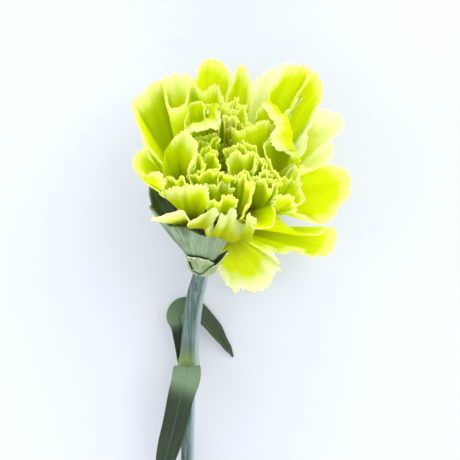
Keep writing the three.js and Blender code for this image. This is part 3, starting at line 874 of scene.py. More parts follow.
def along_line(points, shares):
    """Places at shares of the length of the smooth line through some points."""
    fine = np.array([spline_point(points, t) for t in np.linspace(0, 1, 400)])
    steps = np.linalg.norm(np.diff(fine, axis=0), axis=1)
    reached = np.concatenate([[0.0], np.cumsum(steps)])
    wanted = shares * reached[-1]
    return np.stack([np.interp(wanted, reached, fine[:, i]) for i in range(3)], -1), reached[-1]


def rimmed_sheet(petal, seed, grid, tooth_depth):
    """One petal drawn from its root, over its waist, to a rim that is given by places."""
    columns, rows = grid
    u = np.linspace(0, 1, columns + 1)
    share = 1 - (1 - np.linspace(0, 1, rows + 1)[:, None]) ** 1.3
    rim, rim_length = along_line(petal["rim"], u)
    root = np.asarray(petal["root"], float)
    foot = root + (u[:, None] - 0.5) * (rim[-1] - rim[0]) * 0.08
    if "waist" in petal:
        waist = along_line(petal["waist"], u)[0]
    else:
        outwards = rim.mean(0) - CALYX_BASE
        outwards = unit(outwards - UP * outwards.dot(UP))
        waist = mix(foot, rim, 0.5) + outwards * petal.get("belly", 0) * np.sin(math.pi * u[:, None]) ** 0.6
    length = 0.5 * sum(np.linalg.norm(b - a, axis=1) for a, b in ((foot, rim), (waist, rim), (foot, waist)))
    teeth = max(3, round(rim_length / petal.get("tooth", 1.5)))
    counted = u * teeth + 0.22 * np.sin(u * 18 + seed)
    within = 1 - np.abs(counted % 1 * 2 - 1)
    depth = tooth_depth * petal.get("depth", 1.0) * mix(0.4, 1.25, draw(np.floor(counted) + seed * 7.7))
    notch = (1 - within**0.8) * depth / length * smoothstep(share, 0.7, 1)
    v = (share * 1.01 - notch)[..., None]
    place = (1 - v) ** 2 * foot + 2 * v * (1 - v) * waist + v**2 * rim
    v = v[..., 0]
    normal = np.cross(np.gradient(place, axis=1), np.gradient(place, axis=0))
    normal = normal / (np.linalg.norm(normal, axis=-1, keepdims=True) + 1e-9)
    frill = petal.get("frill", 0.5)
    count = rim_length / petal.get("ruffle", 5.5)
    swing = 2.6 * draw(seed + 5.2)
    wave = frill * smoothstep(v, 0.3, 1.0) ** 1.5 * np.sin(2 * math.pi * count * u + swing * v + seed)
    fine = 0.4 * frill * smoothstep(v, 0.6, 1.0) ** 2
    wave = wave + fine * np.sin(2 * math.pi * count * 2.3 * u + seed * 3.1)
    place = place + normal * wave[..., None]
    place[..., 2] = laid(place[..., 2], PETAL_FLOOR)
    # A very wide pale margin on an outer petal is partly its own colour and partly painted glare.
    pale = petal.get("pale", 4.0)
    pallor = np.clip((pale - 3) / 8, 0, 1)
    margin = (1 - share) * length / pale + 2 * smoothstep(petal.get("plain", -1) - u, 0, 0.15)
    across = (u - 0.5) * rim_length * (0.2 + 0.8 * v)
    loose = smoothstep(share, 0.35, 1.0) * 0.6
    # A random tone, or for a petal given painted shade its share as a negative tone, which the material turns
    # into painted shade.
    tone_and_shade = -petal["dull"] if "dull" in petal else draw(seed + 8.1)
    # Painted shade and painted light: a positive shade spreads the painted throat shade further up the petal,
    # a negative one holds it back.
    reach = v * (1 - petal.get("shade", 0))
    marks = {"margin": margin, "reach": reach, "loose": loose, "tone_and_shade": tone_and_shade, "pallor": pallor}
    return Sheet(place, across, v * length, **marks)


# The camera looks straight down. A place in its view is given in pixels across from the left edge and
# down from the top edge, with a height above the table in mm.
VIEW_PIXELS = 460  # from edge to edge
PIXEL_SIZE = 0.318  # mm, at PIXEL_REACH
PIXEL_REACH = 400.0  # mm down from the camera
VIEW_MIDDLE = np.array([8.9, 10.5])  # mm, the place below the camera
CAMERA_HEIGHT = 430.0  # mm above the table

# The dome that the rims of the middle petals lie on, with a crown on its front.
DOME_PLACE = (231, 224.7)  # pixels across and down
DOME_TOP = 49.72  # mm
DOME_RADII = (67.3, 50.8)  # mm, of its bend across and down the view
DOME_TWIST = 0.0045  # per mm
CROWN_PLACE = (240, 182)  # pixels across and down
CROWN_SPREAD = (64, 50)  # pixels
CROWN_RISE = 3.8  # mm


def view_place(across, down, height):
    """The place at a height that is seen at a place in the view."""
    step = PIXEL_SIZE * (CAMERA_HEIGHT - height) / PIXEL_REACH
    middle = VIEW_PIXELS / 2
    return (VIEW_MIDDLE[0] + (across - middle) * step, VIEW_MIDDLE[1] - (down - middle) * step, height)


def on_dome(across, down, rise):
    """The place that is seen at a place in the view and lies on the dome, or over it by a rise in mm."""
    x = (across - DOME_PLACE[0]) * PIXEL_SIZE
    y = (down - DOME_PLACE[1]) * PIXEL_SIZE
    fall = x * x / (2 * DOME_RADII[0]) + y * y / (2 * DOME_RADII[1]) - DOME_TWIST * x * y
    off = math.hypot((across - CROWN_PLACE[0]) / CROWN_SPREAD[0], (down - CROWN_PLACE[1]) / CROWN_SPREAD[1])
    return view_place(across, down, DOME_TOP - fall + CROWN_RISE * math.exp(-off * off) + rise)


def fan_petal(root, rim, **traits):
    """An outer petal, by its root and rim in the view with heights from the table."""
    kept = {"belly": 0, "frill": 0.5, "ruffle": 9, "tooth": 2.3}
    return {"root": view_place(*root), "rim": [view_place(*point) for point in rim], **kept, **traits}


def dome_petal(root, rim, waist=(), **traits):
    """A petal by its root, rim and waist in the view, the rim with rises over the dome."""
    petal = {"root": view_place(*root), "rim": [on_dome(*point) for point in rim], **traits}
    if waist:
        petal["waist"] = [view_place(*point) for point in waist]
    return petal


OUTER_PETALS = {
    "right": fan_petal(
        (240, 200, 27),
        (
            (292, 166, 38), (300, 164, 37), (310, 168, 37), (318, 168, 36), (325, 165.5, 35),
            (333, 164.5, 35), (341, 166, 35), (348, 172, 35), (351.5, 182, 34), (351, 192, 34),
            (346.5, 200, 34), (340, 206, 33), (336, 215, 32), (328, 221.5, 31), (318, 223.5, 31),
            (308, 219, 32), (299, 213, 33), (292, 208, 35),
        ),
        belly=1, pale=6, frill=0.6, ruffle=10,
    ),
    "right_low": fan_petal(
        (221, 225, 22),
        (
            (278, 214, 31), (283, 221, 30), (291, 228.5, 28), (301, 233.5, 25), (312, 236, 22),
            (322, 233, 19), (331, 229, 17), (337, 231, 16), (337, 241, 15), (333, 250, 15),
            (327, 256, 16), (318, 257, 17), (310, 255, 19), (303, 251, 21), (296, 250, 22),
            (289, 252, 23), (282, 254.5, 23), (276, 250, 24), (268, 250, 25), (259, 248, 26),
        ),
        pale=5, frill=0.4, plain=0.3,
    ),
    "low": fan_petal(
        (224, 228, 22),
        (
            (226, 238, 20), (220, 245, 17), (216, 254, 13), (215, 263, 10), (218, 272, 7),
            (224, 280, 5), (229, 287, 3), (236, 293, 2), (241, 288, 2), (248, 291, 1.5),
            (254, 293.5, 1.5), (262, 289, 2), (269, 286, 3), (274, 278, 4), (277, 268, 6),
            (282, 271, 7), (280, 263, 8), (276, 256, 11), (274, 248, 15), (272, 243, 18),
        ),
        pale=11, shade=-0.12,
    ),
    "right_high": fan_petal(
        (223, 229, 21),
        (
            (296, 178, 33), (301, 160, 31), (307, 140, 29), (311, 124, 27), (315, 114, 26),
            (323, 110, 24), (332, 112, 23), (340, 117, 22), (343.5, 124, 22), (338, 133, 23),
            (331, 140, 25), (334, 149, 25), (333, 158, 25), (327, 166, 27), (318, 172, 29),
        ),
        belly=1, pale=19, frill=0.6, ruffle=10, tooth=2.5,
    ),
    "back_right_b": fan_petal(
        (221, 226, 21),
        (
            (280, 126, 29), (287, 113, 28), (295, 101, 27), (302, 89, 26), (307, 79, 25),
            (312, 72, 24), (318, 76, 23), (322, 84, 23), (322, 95, 23), (318, 108, 24),
            (311, 122, 25), (304, 135, 27), (298, 148, 28), (293, 160, 29),
        ),
        pale=5,
    ),
    "back_right_a": fan_petal(
        (219, 225, 20),
        (
            (254, 120, 26), (262, 106, 25), (269, 94, 24), (275, 84, 23), (282, 74, 22),
            (290, 67, 21), (299, 65, 21), (307, 67, 21), (311, 74, 21), (308, 84, 22),
            (301, 96, 23), (293, 110, 24), (286, 124, 25),
        ),
        pale=5,
    ),
    "back_pale": fan_petal(
        (216, 224, 19),
        (
            (240, 114, 22), (243, 100, 20), (248, 89, 19), (255, 80, 18), (263, 74, 17),
            (270, 70, 16), (278, 66.5, 15), (287, 63.5, 15), (296, 66, 15), (296, 78, 16),
            (288, 96, 18),
        ),
        pale=36,
    ),
    "back_thin": fan_petal(
        (211, 222, 19),
        (
            (223, 112, 26), (227, 98, 25), (231, 84, 24), (235, 74, 23), (239, 66, 22),
            (243, 65, 22), (247, 71, 22), (249.5, 80, 22), (251, 92, 23), (251, 106, 24),
        ),
        belly=1, pale=5, frill=0.4, ruffle=8,
    ),
    "back": fan_petal(
        (206, 221, 19),
        (
            (190, 108, 24), (192, 93, 22), (194, 82, 20), (197, 71, 19), (202, 63, 18),
            (208, 59.5, 18), (214, 60, 17), (220, 61.5, 17), (226, 67, 18), (230, 76, 19),
            (231, 88, 21), (229, 102, 23),
        ),
        pale=4, frill=0.6, ruffle=10,
    ),
    "back_left": fan_petal(
        (200, 222, 20),
        (
            (160, 112, 24), (158, 100, 24), (158, 88, 25), (162, 79, 26), (169, 75, 26),
            (177, 74, 26), (185, 74, 25), (192, 79, 24), (197, 88, 23), (199, 100, 23),
        ),
        pale=9, tooth=2.5,
    ),
    "left_back": fan_petal(
        (197, 224, 21),
        (
            (151, 150, 24), (142, 134, 25), (137, 120, 26), (131, 107, 28), (136, 98, 29),
            (144, 93, 29), (150, 85, 28), (157, 81, 27), (164, 84, 26), (170, 96, 25),
        ),
        pale=7,
    ),
}
MIDDLE_PETALS = {
    "notched": dome_petal(
        (200, 210, 24),
        (
            (150, 158, -6), (143, 140, -6), (138, 122, -6), (134, 106, -5), (141, 97, -5),
            (150, 90, -4), (158, 83, -4), (163, 83, -3), (165.5, 92, 0), (166.5, 101, 2),
            (169, 107.5, 3), (175, 109, 3), (181, 107, 3), (186, 101, 2), (188.5, 91, 1),
            (191, 81, -1), (195, 85, -1), (198, 89, 0),
        ),
        belly=3, pale=5, frill=0.2, tooth=2.5, depth=0.4, ruffle=12,
    ),
    "top": dome_petal(
        (208, 190, 26),
        (
            (187, 95, -2), (189, 84, 0), (195, 86, 0), (201, 90, 0), (206, 90.5, 0), (210, 86, 0),
            (214, 84, 0), (218, 87, 0), (221, 93, 0), (223, 101, 0), (229, 103, -1), (235, 101, -2),
        ),
        belly=-1, pale=4, frill=0.4,
    ),
    "top_right": dome_petal(
        (222, 190, 27),
        (
            (232, 106, -2), (237, 96, -1), (238, 102, 0), (242, 105, 0), (247, 105, 0),
            (246, 112, 0), (248, 121, 0), (252, 125, 0),
        ),
        belly=-1, pale=3, frill=0.3,
    ),
    "arch": dome_petal(
        (200, 196, 26),
        (
            (184, 135, 0), (190, 134, 1.5), (196, 131.5, 2.5), (203, 129.5, 3), (210, 129, 3),
            (217, 129.5, 3), (219.5, 124, 2.5), (219, 118, 2), (217, 112, 1.5), (212, 111, 1),
            (207, 114, 0),
        ),
        waist=((182, 104, 41), (190, 100, 40), (200, 92, 39), (207, 76, 38), (214, 84, 36)),
        pale=7, frill=0.5, ruffle=6, depth=0.8, dull=0.2,
    ),
    "cup_left": dome_petal(
        (196, 205, 27),
        (
            (164, 178, -6), (163, 166, -4), (165, 153, -2), (170, 143, 0), (177, 135.5, 2),
            (184, 129.5, 3), (190, 134.5, 4), (195, 141, 4.5), (198, 149, 4.5), (196, 156, 4),
            (191, 163, 3), (188, 171, 1),
        ),
        belly=7, pale=6, frill=0.3, plain=0.4, dull=0.15,
    ),
    "tips_left": dome_petal(
        (192, 216, 29),
        (
            (162, 189, -4), (165, 179, -2), (168, 175, -1), (171, 179, 0), (174, 176, 0),
            (177, 180, 0), (180, 177, 0), (184, 178, 1), (187, 182, 2),
        ),
        belly=2, pale=3, frill=0.5,
    ),
    "wall_right": dome_petal(
        (245, 208, 30),
        (
            (230, 127, -2), (239, 130.5, 1), (247, 127.5, 2), (255, 124, 2), (264, 120.5, 1),
            (270, 122, 0), (276, 130, -3), (278, 142, -7), (276, 150, -9),
        ),
        belly=3, pale=3.5, frill=0.4, depth=0.6,
    ),
    "fan_right": dome_petal(
        (262, 205, 33),
        (
            (284, 184, 1), (281, 180, 2), (277, 173, 2), (273, 167, 1.5), (269, 160, 1),
            (266, 154, 0), (263, 148, -1), (266, 141, -1), (274, 132, -2), (285, 130, -2),
            (292, 138, -2), (295, 150, -3),
        ),
        belly=3, pale=2.5, frill=0.3,
    ),
    "fold_right": dome_petal(
        (236, 214, 26),
        (
            (293, 160, -2), (290, 155, 0), (285, 152, 1), (279, 151.5, 2), (274, 147, 2),
            (270.5, 140, 2), (272, 133, 2), (275, 128, 2), (273.5, 122, 2), (267, 113, 1),
            (261, 104, 0),
        ),
        waist=((322, 165, 38), (325, 110, 36), (290, 78, 30)),
        pale=7, frill=0.4,
    ),
    "front_2": dome_petal(
        (198, 224, 30),
        (
            (160, 192, -4), (165, 190, -2), (170, 188, -1), (176, 186.5, 0), (181, 187.5, 0),
            (186, 183.5, 0), (193, 184, 1), (199, 184, 1), (205, 186.5, 1), (208, 192, 2),
            (209, 200, 1),
        ),
        belly=5, pale=6, frill=0.25, ruffle=12, shade=-0.45,
    ),
    "front_3a": dome_petal(
        (212, 222, 30),
        (
            (203, 192, -3), (206, 186, -2), (211, 183, -2), (216, 184, -2), (221, 183, -2),
            (226, 184, -2), (231, 184, -2), (234, 190, -2),
        ),
        belly=3, pale=4, frill=0.7,
    ),
    "front_3": dome_petal(
        (214, 224, 31),
        (
            (206, 205, -2), (213, 200, 0), (221, 201, 1), (222, 197, 1), (227, 195, 1),
            (232, 193.5, 1), (236, 199, 1), (236.5, 206, 0), (234, 212, -1),
        ),
        belly=4, pale=4, frill=0.4,
    ),
    "front_4": dome_petal(
        (232, 224, 30),
        (
            (229, 184, -3), (231, 177, -2), (236, 174, -1), (241, 178, 0), (246, 173.5, 1),
            (249, 182, 2), (254, 187, 3), (251, 196, 3), (247, 207, 2), (241, 217, 0),
        ),
        belly=4, pale=4, frill=0.5, shade=-0.35,
    ),
    "front_5": dome_petal(
        (243, 223, 29),
        (
            (250, 184, -2), (254, 176, -1), (260, 176, 0), (266, 184, 1), (272, 187, 2),
            (276, 182, 2), (279, 189, 1), (276, 197, 0), (272, 204, -2),
        ),
        belly=4, pale=4, frill=0.6,
    ),
    "front_6": dome_petal(
        (236, 214, 30),
        (
            (271, 196, -4), (273, 206, -2), (275, 215, 0), (274, 222, 1), (270, 227, 1.5),
            (262, 228.5, 2), (254, 227, 1.5), (248, 222, 0),
        ),
        belly=2, pale=1.2, frill=0.1, depth=0.2, shade=0.25,
    ),
    "front_7": dome_petal(
        (262, 214, 32),
        (
            (288, 172, -4), (294, 165, -2), (297, 168, -1), (301.5, 170, 0), (300, 178, 0),
            (301, 186, 0), (304, 193, 0), (303, 200, 0), (298, 206, 0), (293, 211, -1),
        ),
        belly=3, pale=6, frill=0.4, tooth=2.6, depth=0.6,
    ),
    "front_8": dome_petal(
        (258, 216, 32),
        (
            (277, 190, -3), (280, 180, -2), (284, 178.5, -1), (289, 178, -1), (293, 176, -1),
            (295, 184, -2),
        ),
        belly=2, pale=3, frill=0.5,
    ),
    "front_9": dome_petal(
        (256, 218, 31),
        (
            (274, 204, -1), (277, 195.5, 0), (283, 194, 1), (289, 196, 1), (294, 197.5, 1),
            (296, 204, 0), (296, 212, -2),
        ),
        belly=3, pale=5, frill=0.5,
    ),
    "ruffle": dome_petal(
        (216, 226, 28),
        (
            (190, 224, 0), (194, 220, 0), (199, 216.5, 0), (205, 213.5, 0), (210, 210, 0),
            (215, 207.5, 0), (219, 211.5, 0.5), (219, 215, 0), (215, 218.5, -1), (213, 223, -2),
            (215, 228, -3), (218.5, 227.5, -3), (219.8, 222, -2), (220, 215, 0), (222, 213.5, 1),
            (225.5, 215.5, 1), (229, 211, 1.5), (232, 207.5, 1), (235, 208, 1), (236, 214, 0),
            (238, 221, -3), (243, 224, -4), (247, 221, -2), (249, 212, 1), (252, 216, 1),
            (255.5, 218, 1), (255, 226, 0), (252, 232, -1),
        ),
        waist=(
            (180, 232, 46), (190, 238, 50), (206, 250, 54), (222, 258, 55), (240, 260, 54), (256, 256, 50),
        ),
        pale=8, frill=0.3, ruffle=6, shade=0.4, dull=0.3,
    ),
    "strip": dome_petal(
        (192, 227, 34),
        (
            (189, 221, -1), (186, 215, -1), (182, 211, 0), (174, 212.5, 0), (163, 216, -1),
            (153, 218.5, -2), (151, 220, -3),
        ),
        belly=0, pale=9, frill=0.1, depth=0.3,
    ),
    "left_low": dome_petal(
        (190, 200, 27),
        (
            (163, 197, -5), (158, 193, -4), (147, 183, -4), (138, 173, -5), (133, 165, -5),
            (134, 156, -5), (140, 150, -5), (147, 147, -5), (151, 150, -5), (157, 157, -6),
            (164, 162, -7),
        ),
        belly=3, pale=5, frill=0.2, ruffle=9, tooth=2,
    ),
    "corner_left": dome_petal(
        (192, 197, 29),
        (
            (142, 172, -5), (147, 176, -3), (152, 173.5, -1), (158, 171.5, 0), (163, 175, 1),
            (166, 182, 1), (164, 188, 0), (161, 192, -1),
        ),
        waist=((124, 172, 42), (140, 190, 46), (160, 199, 46)),
        pale=6, frill=0.2,
    ),
}
CROWD_PETALS = {
    "left_1": dome_petal(
        (203, 200, 30),
        (
            (186, 177, -2), (190, 172, -1), (195, 162, 0), (199, 156, 0), (203, 157, 1),
            (203, 163, 1), (204, 168, 1), (199, 172, 0), (193, 175, -1),
        ),
        belly=2, pale=2, frill=0.5,
    ),
    "left_2": dome_petal(
        (209, 200, 30),
        (
            (203, 166, -2), (204, 157, -1), (208, 153, 0), (214, 155, 0), (219, 159, 0),
            (219, 165, 0), (215, 169, 0), (209, 171, -1),
        ),
        belly=2, pale=2, frill=0.5,
    ),
    "left_3": dome_petal(
        (206, 198, 29),
        (
            (190, 158, -4), (196, 153, -2), (203, 149.5, -1), (209, 147, 0), (215, 149, 0),
            (218, 153, 0),
        ),
        belly=1, pale=2, frill=0.7,
    ),
    "left_4": dome_petal(
        (206, 194, 28),
        (
            (189, 150, -5), (197, 143.5, -3), (205, 142, -2), (213, 139, -1), (218, 137, -1),
            (219, 143, -2),
        ),
        belly=1, pale=1.6, frill=0.7,
    ),
    "left_5": dome_petal(
        (206, 190, 28),
        (
            (186, 142, -4), (194, 139, -3), (201, 136, -3), (209, 134.5, -3), (217, 134, -3),
        ),
        belly=1, pale=1.6, frill=0.6, shade=0.4,
    ),
    "left_6": dome_petal(
        (210, 206, 31),
        (
            (188, 183, -2), (191, 176, -1), (198, 174, 0), (205, 172, 0), (212, 171, 0),
            (218, 170, 0), (222, 174, 0),
        ),
        belly=2, pale=2, frill=0.7,
    ),
    "left_7": dome_petal(
        (216, 208, 32),
        (
            (216, 182, -2), (220, 175, -1), (226, 173, 0), (232, 176, 0), (234, 182, -1),
        ),
        belly=2, pale=2.4, frill=0.7,
    ),
    "top_1": dome_petal(
        (214, 185, 27),
        (
            (207, 112, -3), (208, 104, -1), (213, 103.5, -1), (219, 104, -1), (222, 108, -2),
        ),
        belly=0, pale=1.6, frill=0.7,
    ),
    "top_2": dome_petal(
        (216, 185, 27),
        (
            (207, 122, -3), (209, 112, -1), (214, 110, 0), (219, 112, 0), (220, 118, 0),
            (218, 124, 0),
        ),
        belly=0, pale=4, frill=0.5,
    ),
    "top_3": dome_petal(
        (224, 185, 27),
        (
            (221, 112, -2), (223, 106, -1), (229, 109.5, 0), (235, 110.5, 0), (240, 110, 0),
            (239, 114, -1),
        ),
        belly=0, pale=2.4, frill=0.5, shade=0.25,
    ),
    "top_4": dome_petal(
        (226, 186, 28),
        (
            (223, 124, -2), (224, 116, 0), (229, 117.5, 0), (232, 115, 0), (236, 116.5, 0),
            (235, 123, -1),
        ),
        belly=0, pale=4, frill=0.6, shade=0.5,
    ),
    "top_5": dome_petal(
        (230, 186, 28),
        (
            (226, 130, -5), (230, 123, -3), (236, 121, -2), (242, 123, -2), (246, 129, -3),
        ),
        belly=0, pale=1.6, frill=0.6, shade=0.45,
    ),
    "dome_1": dome_petal(
        (240, 204, 33),
        (
            (227, 171, -2), (228, 160, -1), (231, 152, 0), (236, 151, 1), (242, 155, 1),
            (248, 152, 1), (254, 153, 1), (256, 162, 0), (253, 170, 0),
        ),
        belly=3, pale=4, frill=0.6,
    ),
    "dome_2": dome_petal(
        (246, 200, 31),
        (
            (238, 146, -3), (243, 141, -1), (250, 144, 0), (257, 151, 0), (264, 161, 0),
            (270, 170, 0), (276, 180, -1),
        ),
        belly=2, pale=2, frill=0.6,
    ),
    "dome_3": dome_petal(
        (236, 198, 31),
        (
            (225, 153, -3), (228, 147, -2), (235, 144, -1), (242, 146, -1), (249, 150, -1),
        ),
        belly=1, pale=2.4, frill=0.7, shade=0.3,
    ),
    "dome_4": dome_petal(
        (250, 204, 32),
        (
            (253, 172, -2), (255, 163, -1), (258, 159, 0), (262, 163, 0), (266, 169, 0),
            (270, 176, 0), (272, 183, -1),
        ),
        belly=2, pale=3.2, frill=0.8,
    ),
    "dome_5": dome_petal(
        (243, 208, 33),
        (
            (233, 182, -2), (236, 175, -1), (242, 172, 0), (248, 172, 0), (252, 176, 0),
            (253, 184, -1),
        ),
        belly=2, pale=3.2, frill=0.7,
    ),
    "dome_6": dome_petal(
        (252, 208, 33),
        (
            (256, 180, -1), (260, 173, 0), (265, 172, 1), (270, 176, 1), (276, 180, 1),
            (278, 186, 0),
        ),
        belly=2, pale=4, frill=0.8,
    ),
    "arch_back": dome_petal(
        (204, 192, 27),
        (
            (184, 131, -3), (186, 118, -2), (188.5, 107, -1), (194, 102.5, 0), (200, 102, 0),
            (204, 107, 0), (205, 119, -1),
        ),
        belly=-1, pale=1.8, frill=0.3, depth=0.3, shade=-0.1,
    ),
}


HEART_COUNT = 12


def heart_petals():
    """The smallest petals, crowded round the bloom's axis by the golden angle, each with its seed."""
    for i in range(HEART_COUNT):
        seed = 100 + i
        t = i / (HEART_COUNT - 1)
        azimuth = 20 + i * GOLDEN_ANGLE
        forward = math.sin(math.radians(azimuth))
        radius = mix(7.0, 3.0, t) + draw(seed) - 0.5
        height = mix(42, 37, t) + 2 * draw(seed + 0.3) - 4 * forward
        petal = {
            "at": azimuth,
            "to": azimuth + 30 * (draw(seed + 0.6) - 0.5),
            "root": (2, 24),
            "bend": (radius * 0.9, 36),
            "tip": (radius, height),
            "width": mix(8, 6, t),
            "cup": 0.8,
            "ripple": 0.6,
            "roll": 10,
            "ruffle": 3.0,
            "tooth": 1.1,
            "lobe": 0.4,
            "pale": 2.2,
            "frill": 0.8,
        }
        yield seed, petal


def seeded(first, petals):
    return list(enumerate(petals, first))


PETAL_GROUPS = (
    # name, maker, petals with their seeds, columns and rows of a petal, share of the teeth's full depth
    ("petals_outer", rimmed_sheet, seeded(3, OUTER_PETALS.values()), (110, 34), 1.0),
    ("petals_lying", petal_sheet, seeded(18, LYING_PETALS), (48, 34), 1.0),
    ("petals_middle", rimmed_sheet, seeded(40, MIDDLE_PETALS.values()), (80, 26), 1.0),
    ("petals_inner", rimmed_sheet, seeded(70, CROWD_PETALS.values()), (56, 22), 0.65),
    ("petals_heart", petal_sheet, tuple(heart_petals()), (32, 20), 0.7),
)

# ---------------------------------------------------------------- settings


def colour_setting(name, description, code):
    settings = {"size": 4, "subtype": "COLOR", "min": 0, "max": 1}
    return FloatVectorProperty(name=name, description=description, default=linear_colour(code), **settings)


def length_setting(name, description, default):
    return FloatProperty(name=name, description=description, default=default, unit="LENGTH")


class BloomSettings(bpy.types.PropertyGroup):
    thickness: length_setting("Petal thickness", "Thickness of a petal", 0.00032)
    tooth_depth: FloatProperty(
        name="Tooth depth", description="Depth of a tooth of the margin, in mm", default=1.3
    )
    crumple_height: length_setting("Crumple height", "Height of the fine crumples at the margin", 0.0016)
    crumple_size: length_setting("Crumple size", "Width of the fine crumples at the margin", 0.005)
    glow: FloatProperty(
        name="Glow", description="Share of the light that goes through a petal", default=0.6, min=0, max=1
    )
    body_cool: colour_setting("Body, cool", "Colour of the greenest petals", "#d9e500")
    body_warm: colour_setting("Body, warm", "Colour of the yellowest petals", "#eaf404")
    # Painted shade: the colour that the petals darken to deep in the bloom, where shade falls.
    painted_throat_shade: colour_setting("Throat", "Colour of the petals deep in the bloom", "#8e8604")
    vein: colour_setting("Vein", "Colour of the petals' veins", "#ceda00")
    margin: colour_setting("Margin", "Colour of the inner petals' margin", "#f8fb94")
    # Painted shade: the colour that shaded petals are multiplied with.
    dull: colour_setting("Painted shade", "What the colour of a dull petal is multiplied with", "#d2d6cc")
    # Partly the outer petals' own pale margin, partly painted glare.
    cream: colour_setting("Cream", "Colour of the margin of the palest outer petals", "#fefedc")


class GreenSettings(bpy.types.PropertyGroup):
    ridge_depth: length_setting("Ridge depth", "Depth of the stem's ridges", 0.00012)
    blade_thickness: length_setting("Blade thickness", "Thickness of a leaf", 0.0007)
    scale_thickness: length_setting("Scale thickness", "Thickness of a bract", 0.0005)
    calyx_thickness: length_setting("Calyx thickness", "Thickness of the calyx wall", 0.0007)
    stem_dark: colour_setting("Stem", "Colour of the stem's skin", "#35473c")
    stem_light: colour_setting("Stem wax", "Colour of the stem where wax lies on it", "#4f6358")
    stem_line: colour_setting("Stem streak", "Colour of the stem's streaks", "#93a7ad")
    # Painted highlight: the colour painted down the stem's right side, where the key light falls.
    stem_wax: colour_setting("Thick stem wax", "Colour of the stem's right side, thick with wax", "#a3b5bc")
    node_colour: colour_setting("Node", "Colour of the stem at its nodes", "#6f8438")
    pith: colour_setting("Pith", "Colour of the middle of the stem's cut end", "#d3dcb6")
    cut_ring: colour_setting("Cut ring", "Colour of the ring round the pith", "#8a9d5e")
    bract_margin: colour_setting("Bract margin", "Colour of the thin margin of a bract", "#c3cc9c")
    leaf_dark: colour_setting("Leaf", "Colour of the leaves", "#172211")
    leaf_light: colour_setting("Leaf wax", "Colour of the leaves where wax lies on them", "#212f19")
    leaf_base: colour_setting("Leaf base", "Colour of the leaves near the stem", "#6a8262")
    leaf_line: colour_setting("Leaf streak", "Colour of the leaves' veins", "#27371e")
    calyx_dark: colour_setting("Calyx", "Colour of the calyx", "#3f5232")
    calyx_light: colour_setting("Calyx wax", "Colour of the calyx where wax lies on it", "#728565")
    calyx_line: colour_setting("Calyx streak", "Colour of the calyx's ribs", "#93a380")
    bract_dark: colour_setting("Bract", "Colour of the bracts", "#66794f")
    bract_light: colour_setting("Bract wax", "Colour of the bracts where wax lies on them", "#8b9e72")
    bract_line: colour_setting("Bract streak", "Colour of the bracts' ribs", "#b0bb8b")


class StageSettings(bpy.types.PropertyGroup):
    floor: colour_setting("Floor", "Colour of the table", "#9ea2a7")
    floor_glow: colour_setting("Floor glow", "Colour of the light from below the table", "#f8faff")
    sky: colour_setting("Sky", "Colour of the light from all round", "#f2f6ff")
    sky_strength: FloatProperty(name="Sky strength", description="Strength of the sky's light", default=0.95)
    key_power: FloatProperty(
        name="Key power", description="Power that the lights have shares of", default=5.0, unit="POWER"
    )
    camera_height: length_setting("Camera height", "Height of the camera above the table", CAMERA_HEIGHT * MM)


# ---------------------------------------------------------------- operators

UNUSED_CRUMPLE = 0.01  # m, the crumples' width on a blade that isn't crumpled, where it must not be 0


class CARNATION_OT_stem(bpy.types.Operator):
    """Draws the stem along its path"""

    bl_idname = "carnation.stem"
    bl_label = "Stem"

    def execute(self, context):
        make_stem(context.scene.carnation_green)
        return {"FINISHED"}


class CARNATION_OT_leaves(bpy.types.Operator):
    """Makes the four leaves"""

    bl_idname = "carnation.leaves"
    bl_label = "Leaves"

    def execute(self, context):
        settings = context.scene.carnation_green
        plain = {"material": leaf_material(settings), "crumple_size": UNUSED_CRUMPLE}
        tree = blade_shell_tree()
        for name, leaf in LEAVES.items():
            sheet = make_mesh(name + "_skin", [leaf_sheet(**leaf)])
            dress(grow(sheet, tree, thickness=settings.blade_thickness, **plain), "leaves", name)
        return {"FINISHED"}


class CARNATION_OT_bracts(bpy.types.Operator):
    """Makes the four bracts round the calyx base"""

    bl_idname = "carnation.bracts"
    bl_label = "Bracts"

    def execute(self, context):
        settings = context.scene.carnation_green
        plain = {"material": bract_material(settings), "crumple_size": UNUSED_CRUMPLE}
        tree = blade_shell_tree()
        for name, bract in BRACTS.items():
            sheet = make_mesh(name + "_skin", [bract_sheet(**bract)])
            dress(grow(sheet, tree, thickness=settings.scale_thickness, **plain), "bracts", name)
        return {"FINISHED"}


class CARNATION_OT_calyx(bpy.types.Operator):
    """Makes the burst calyx"""

    bl_idname = "carnation.calyx"
    bl_label = "Calyx"

    def execute(self, context):
        settings = context.scene.carnation_green
        plain = {"material": calyx_material(settings), "crumple_size": UNUSED_CRUMPLE}
        sheet = make_mesh("calyx_skin", [calyx_sheet()])
        dress(grow(sheet, blade_shell_tree(), thickness=settings.calyx_thickness, **plain), "calyx", "calyx")
        return {"FINISHED"}


class CARNATION_OT_petals(bpy.types.Operator):
    """Makes the petals, whorl by whorl"""

    bl_idname = "carnation.petals"
    bl_label = "Petals"

    def execute(self, context):
        settings = context.scene.carnation_bloom
        material = petal_tissue(settings)
        tree = blade_shell_tree()
        for name, maker, petals, grid, share in PETAL_GROUPS:
            depth = settings.tooth_depth * share
            sheets = [maker(petal, seed, grid, depth) for seed, petal in petals]
            piece = grow(
                make_mesh(name, sheets),
                tree,
                thickness=settings.thickness,
                crumple_height=settings.crumple_height,
                crumple_size=settings.crumple_size,
                seed=3.0,
                material=material,
            )
            dress(piece, "petals", "bloom")
        return {"FINISHED"}


class CARNATION_OT_stage(bpy.types.Operator):
    """Sets the table, the light and the camera"""

    bl_idname = "carnation.stage"
    bl_label = "Stage"

    def execute(self, context):
        make_stage(context.scene, context.scene.carnation_stage)
        return {"FINISHED"}


# ---------------------------------------------------------------- stage

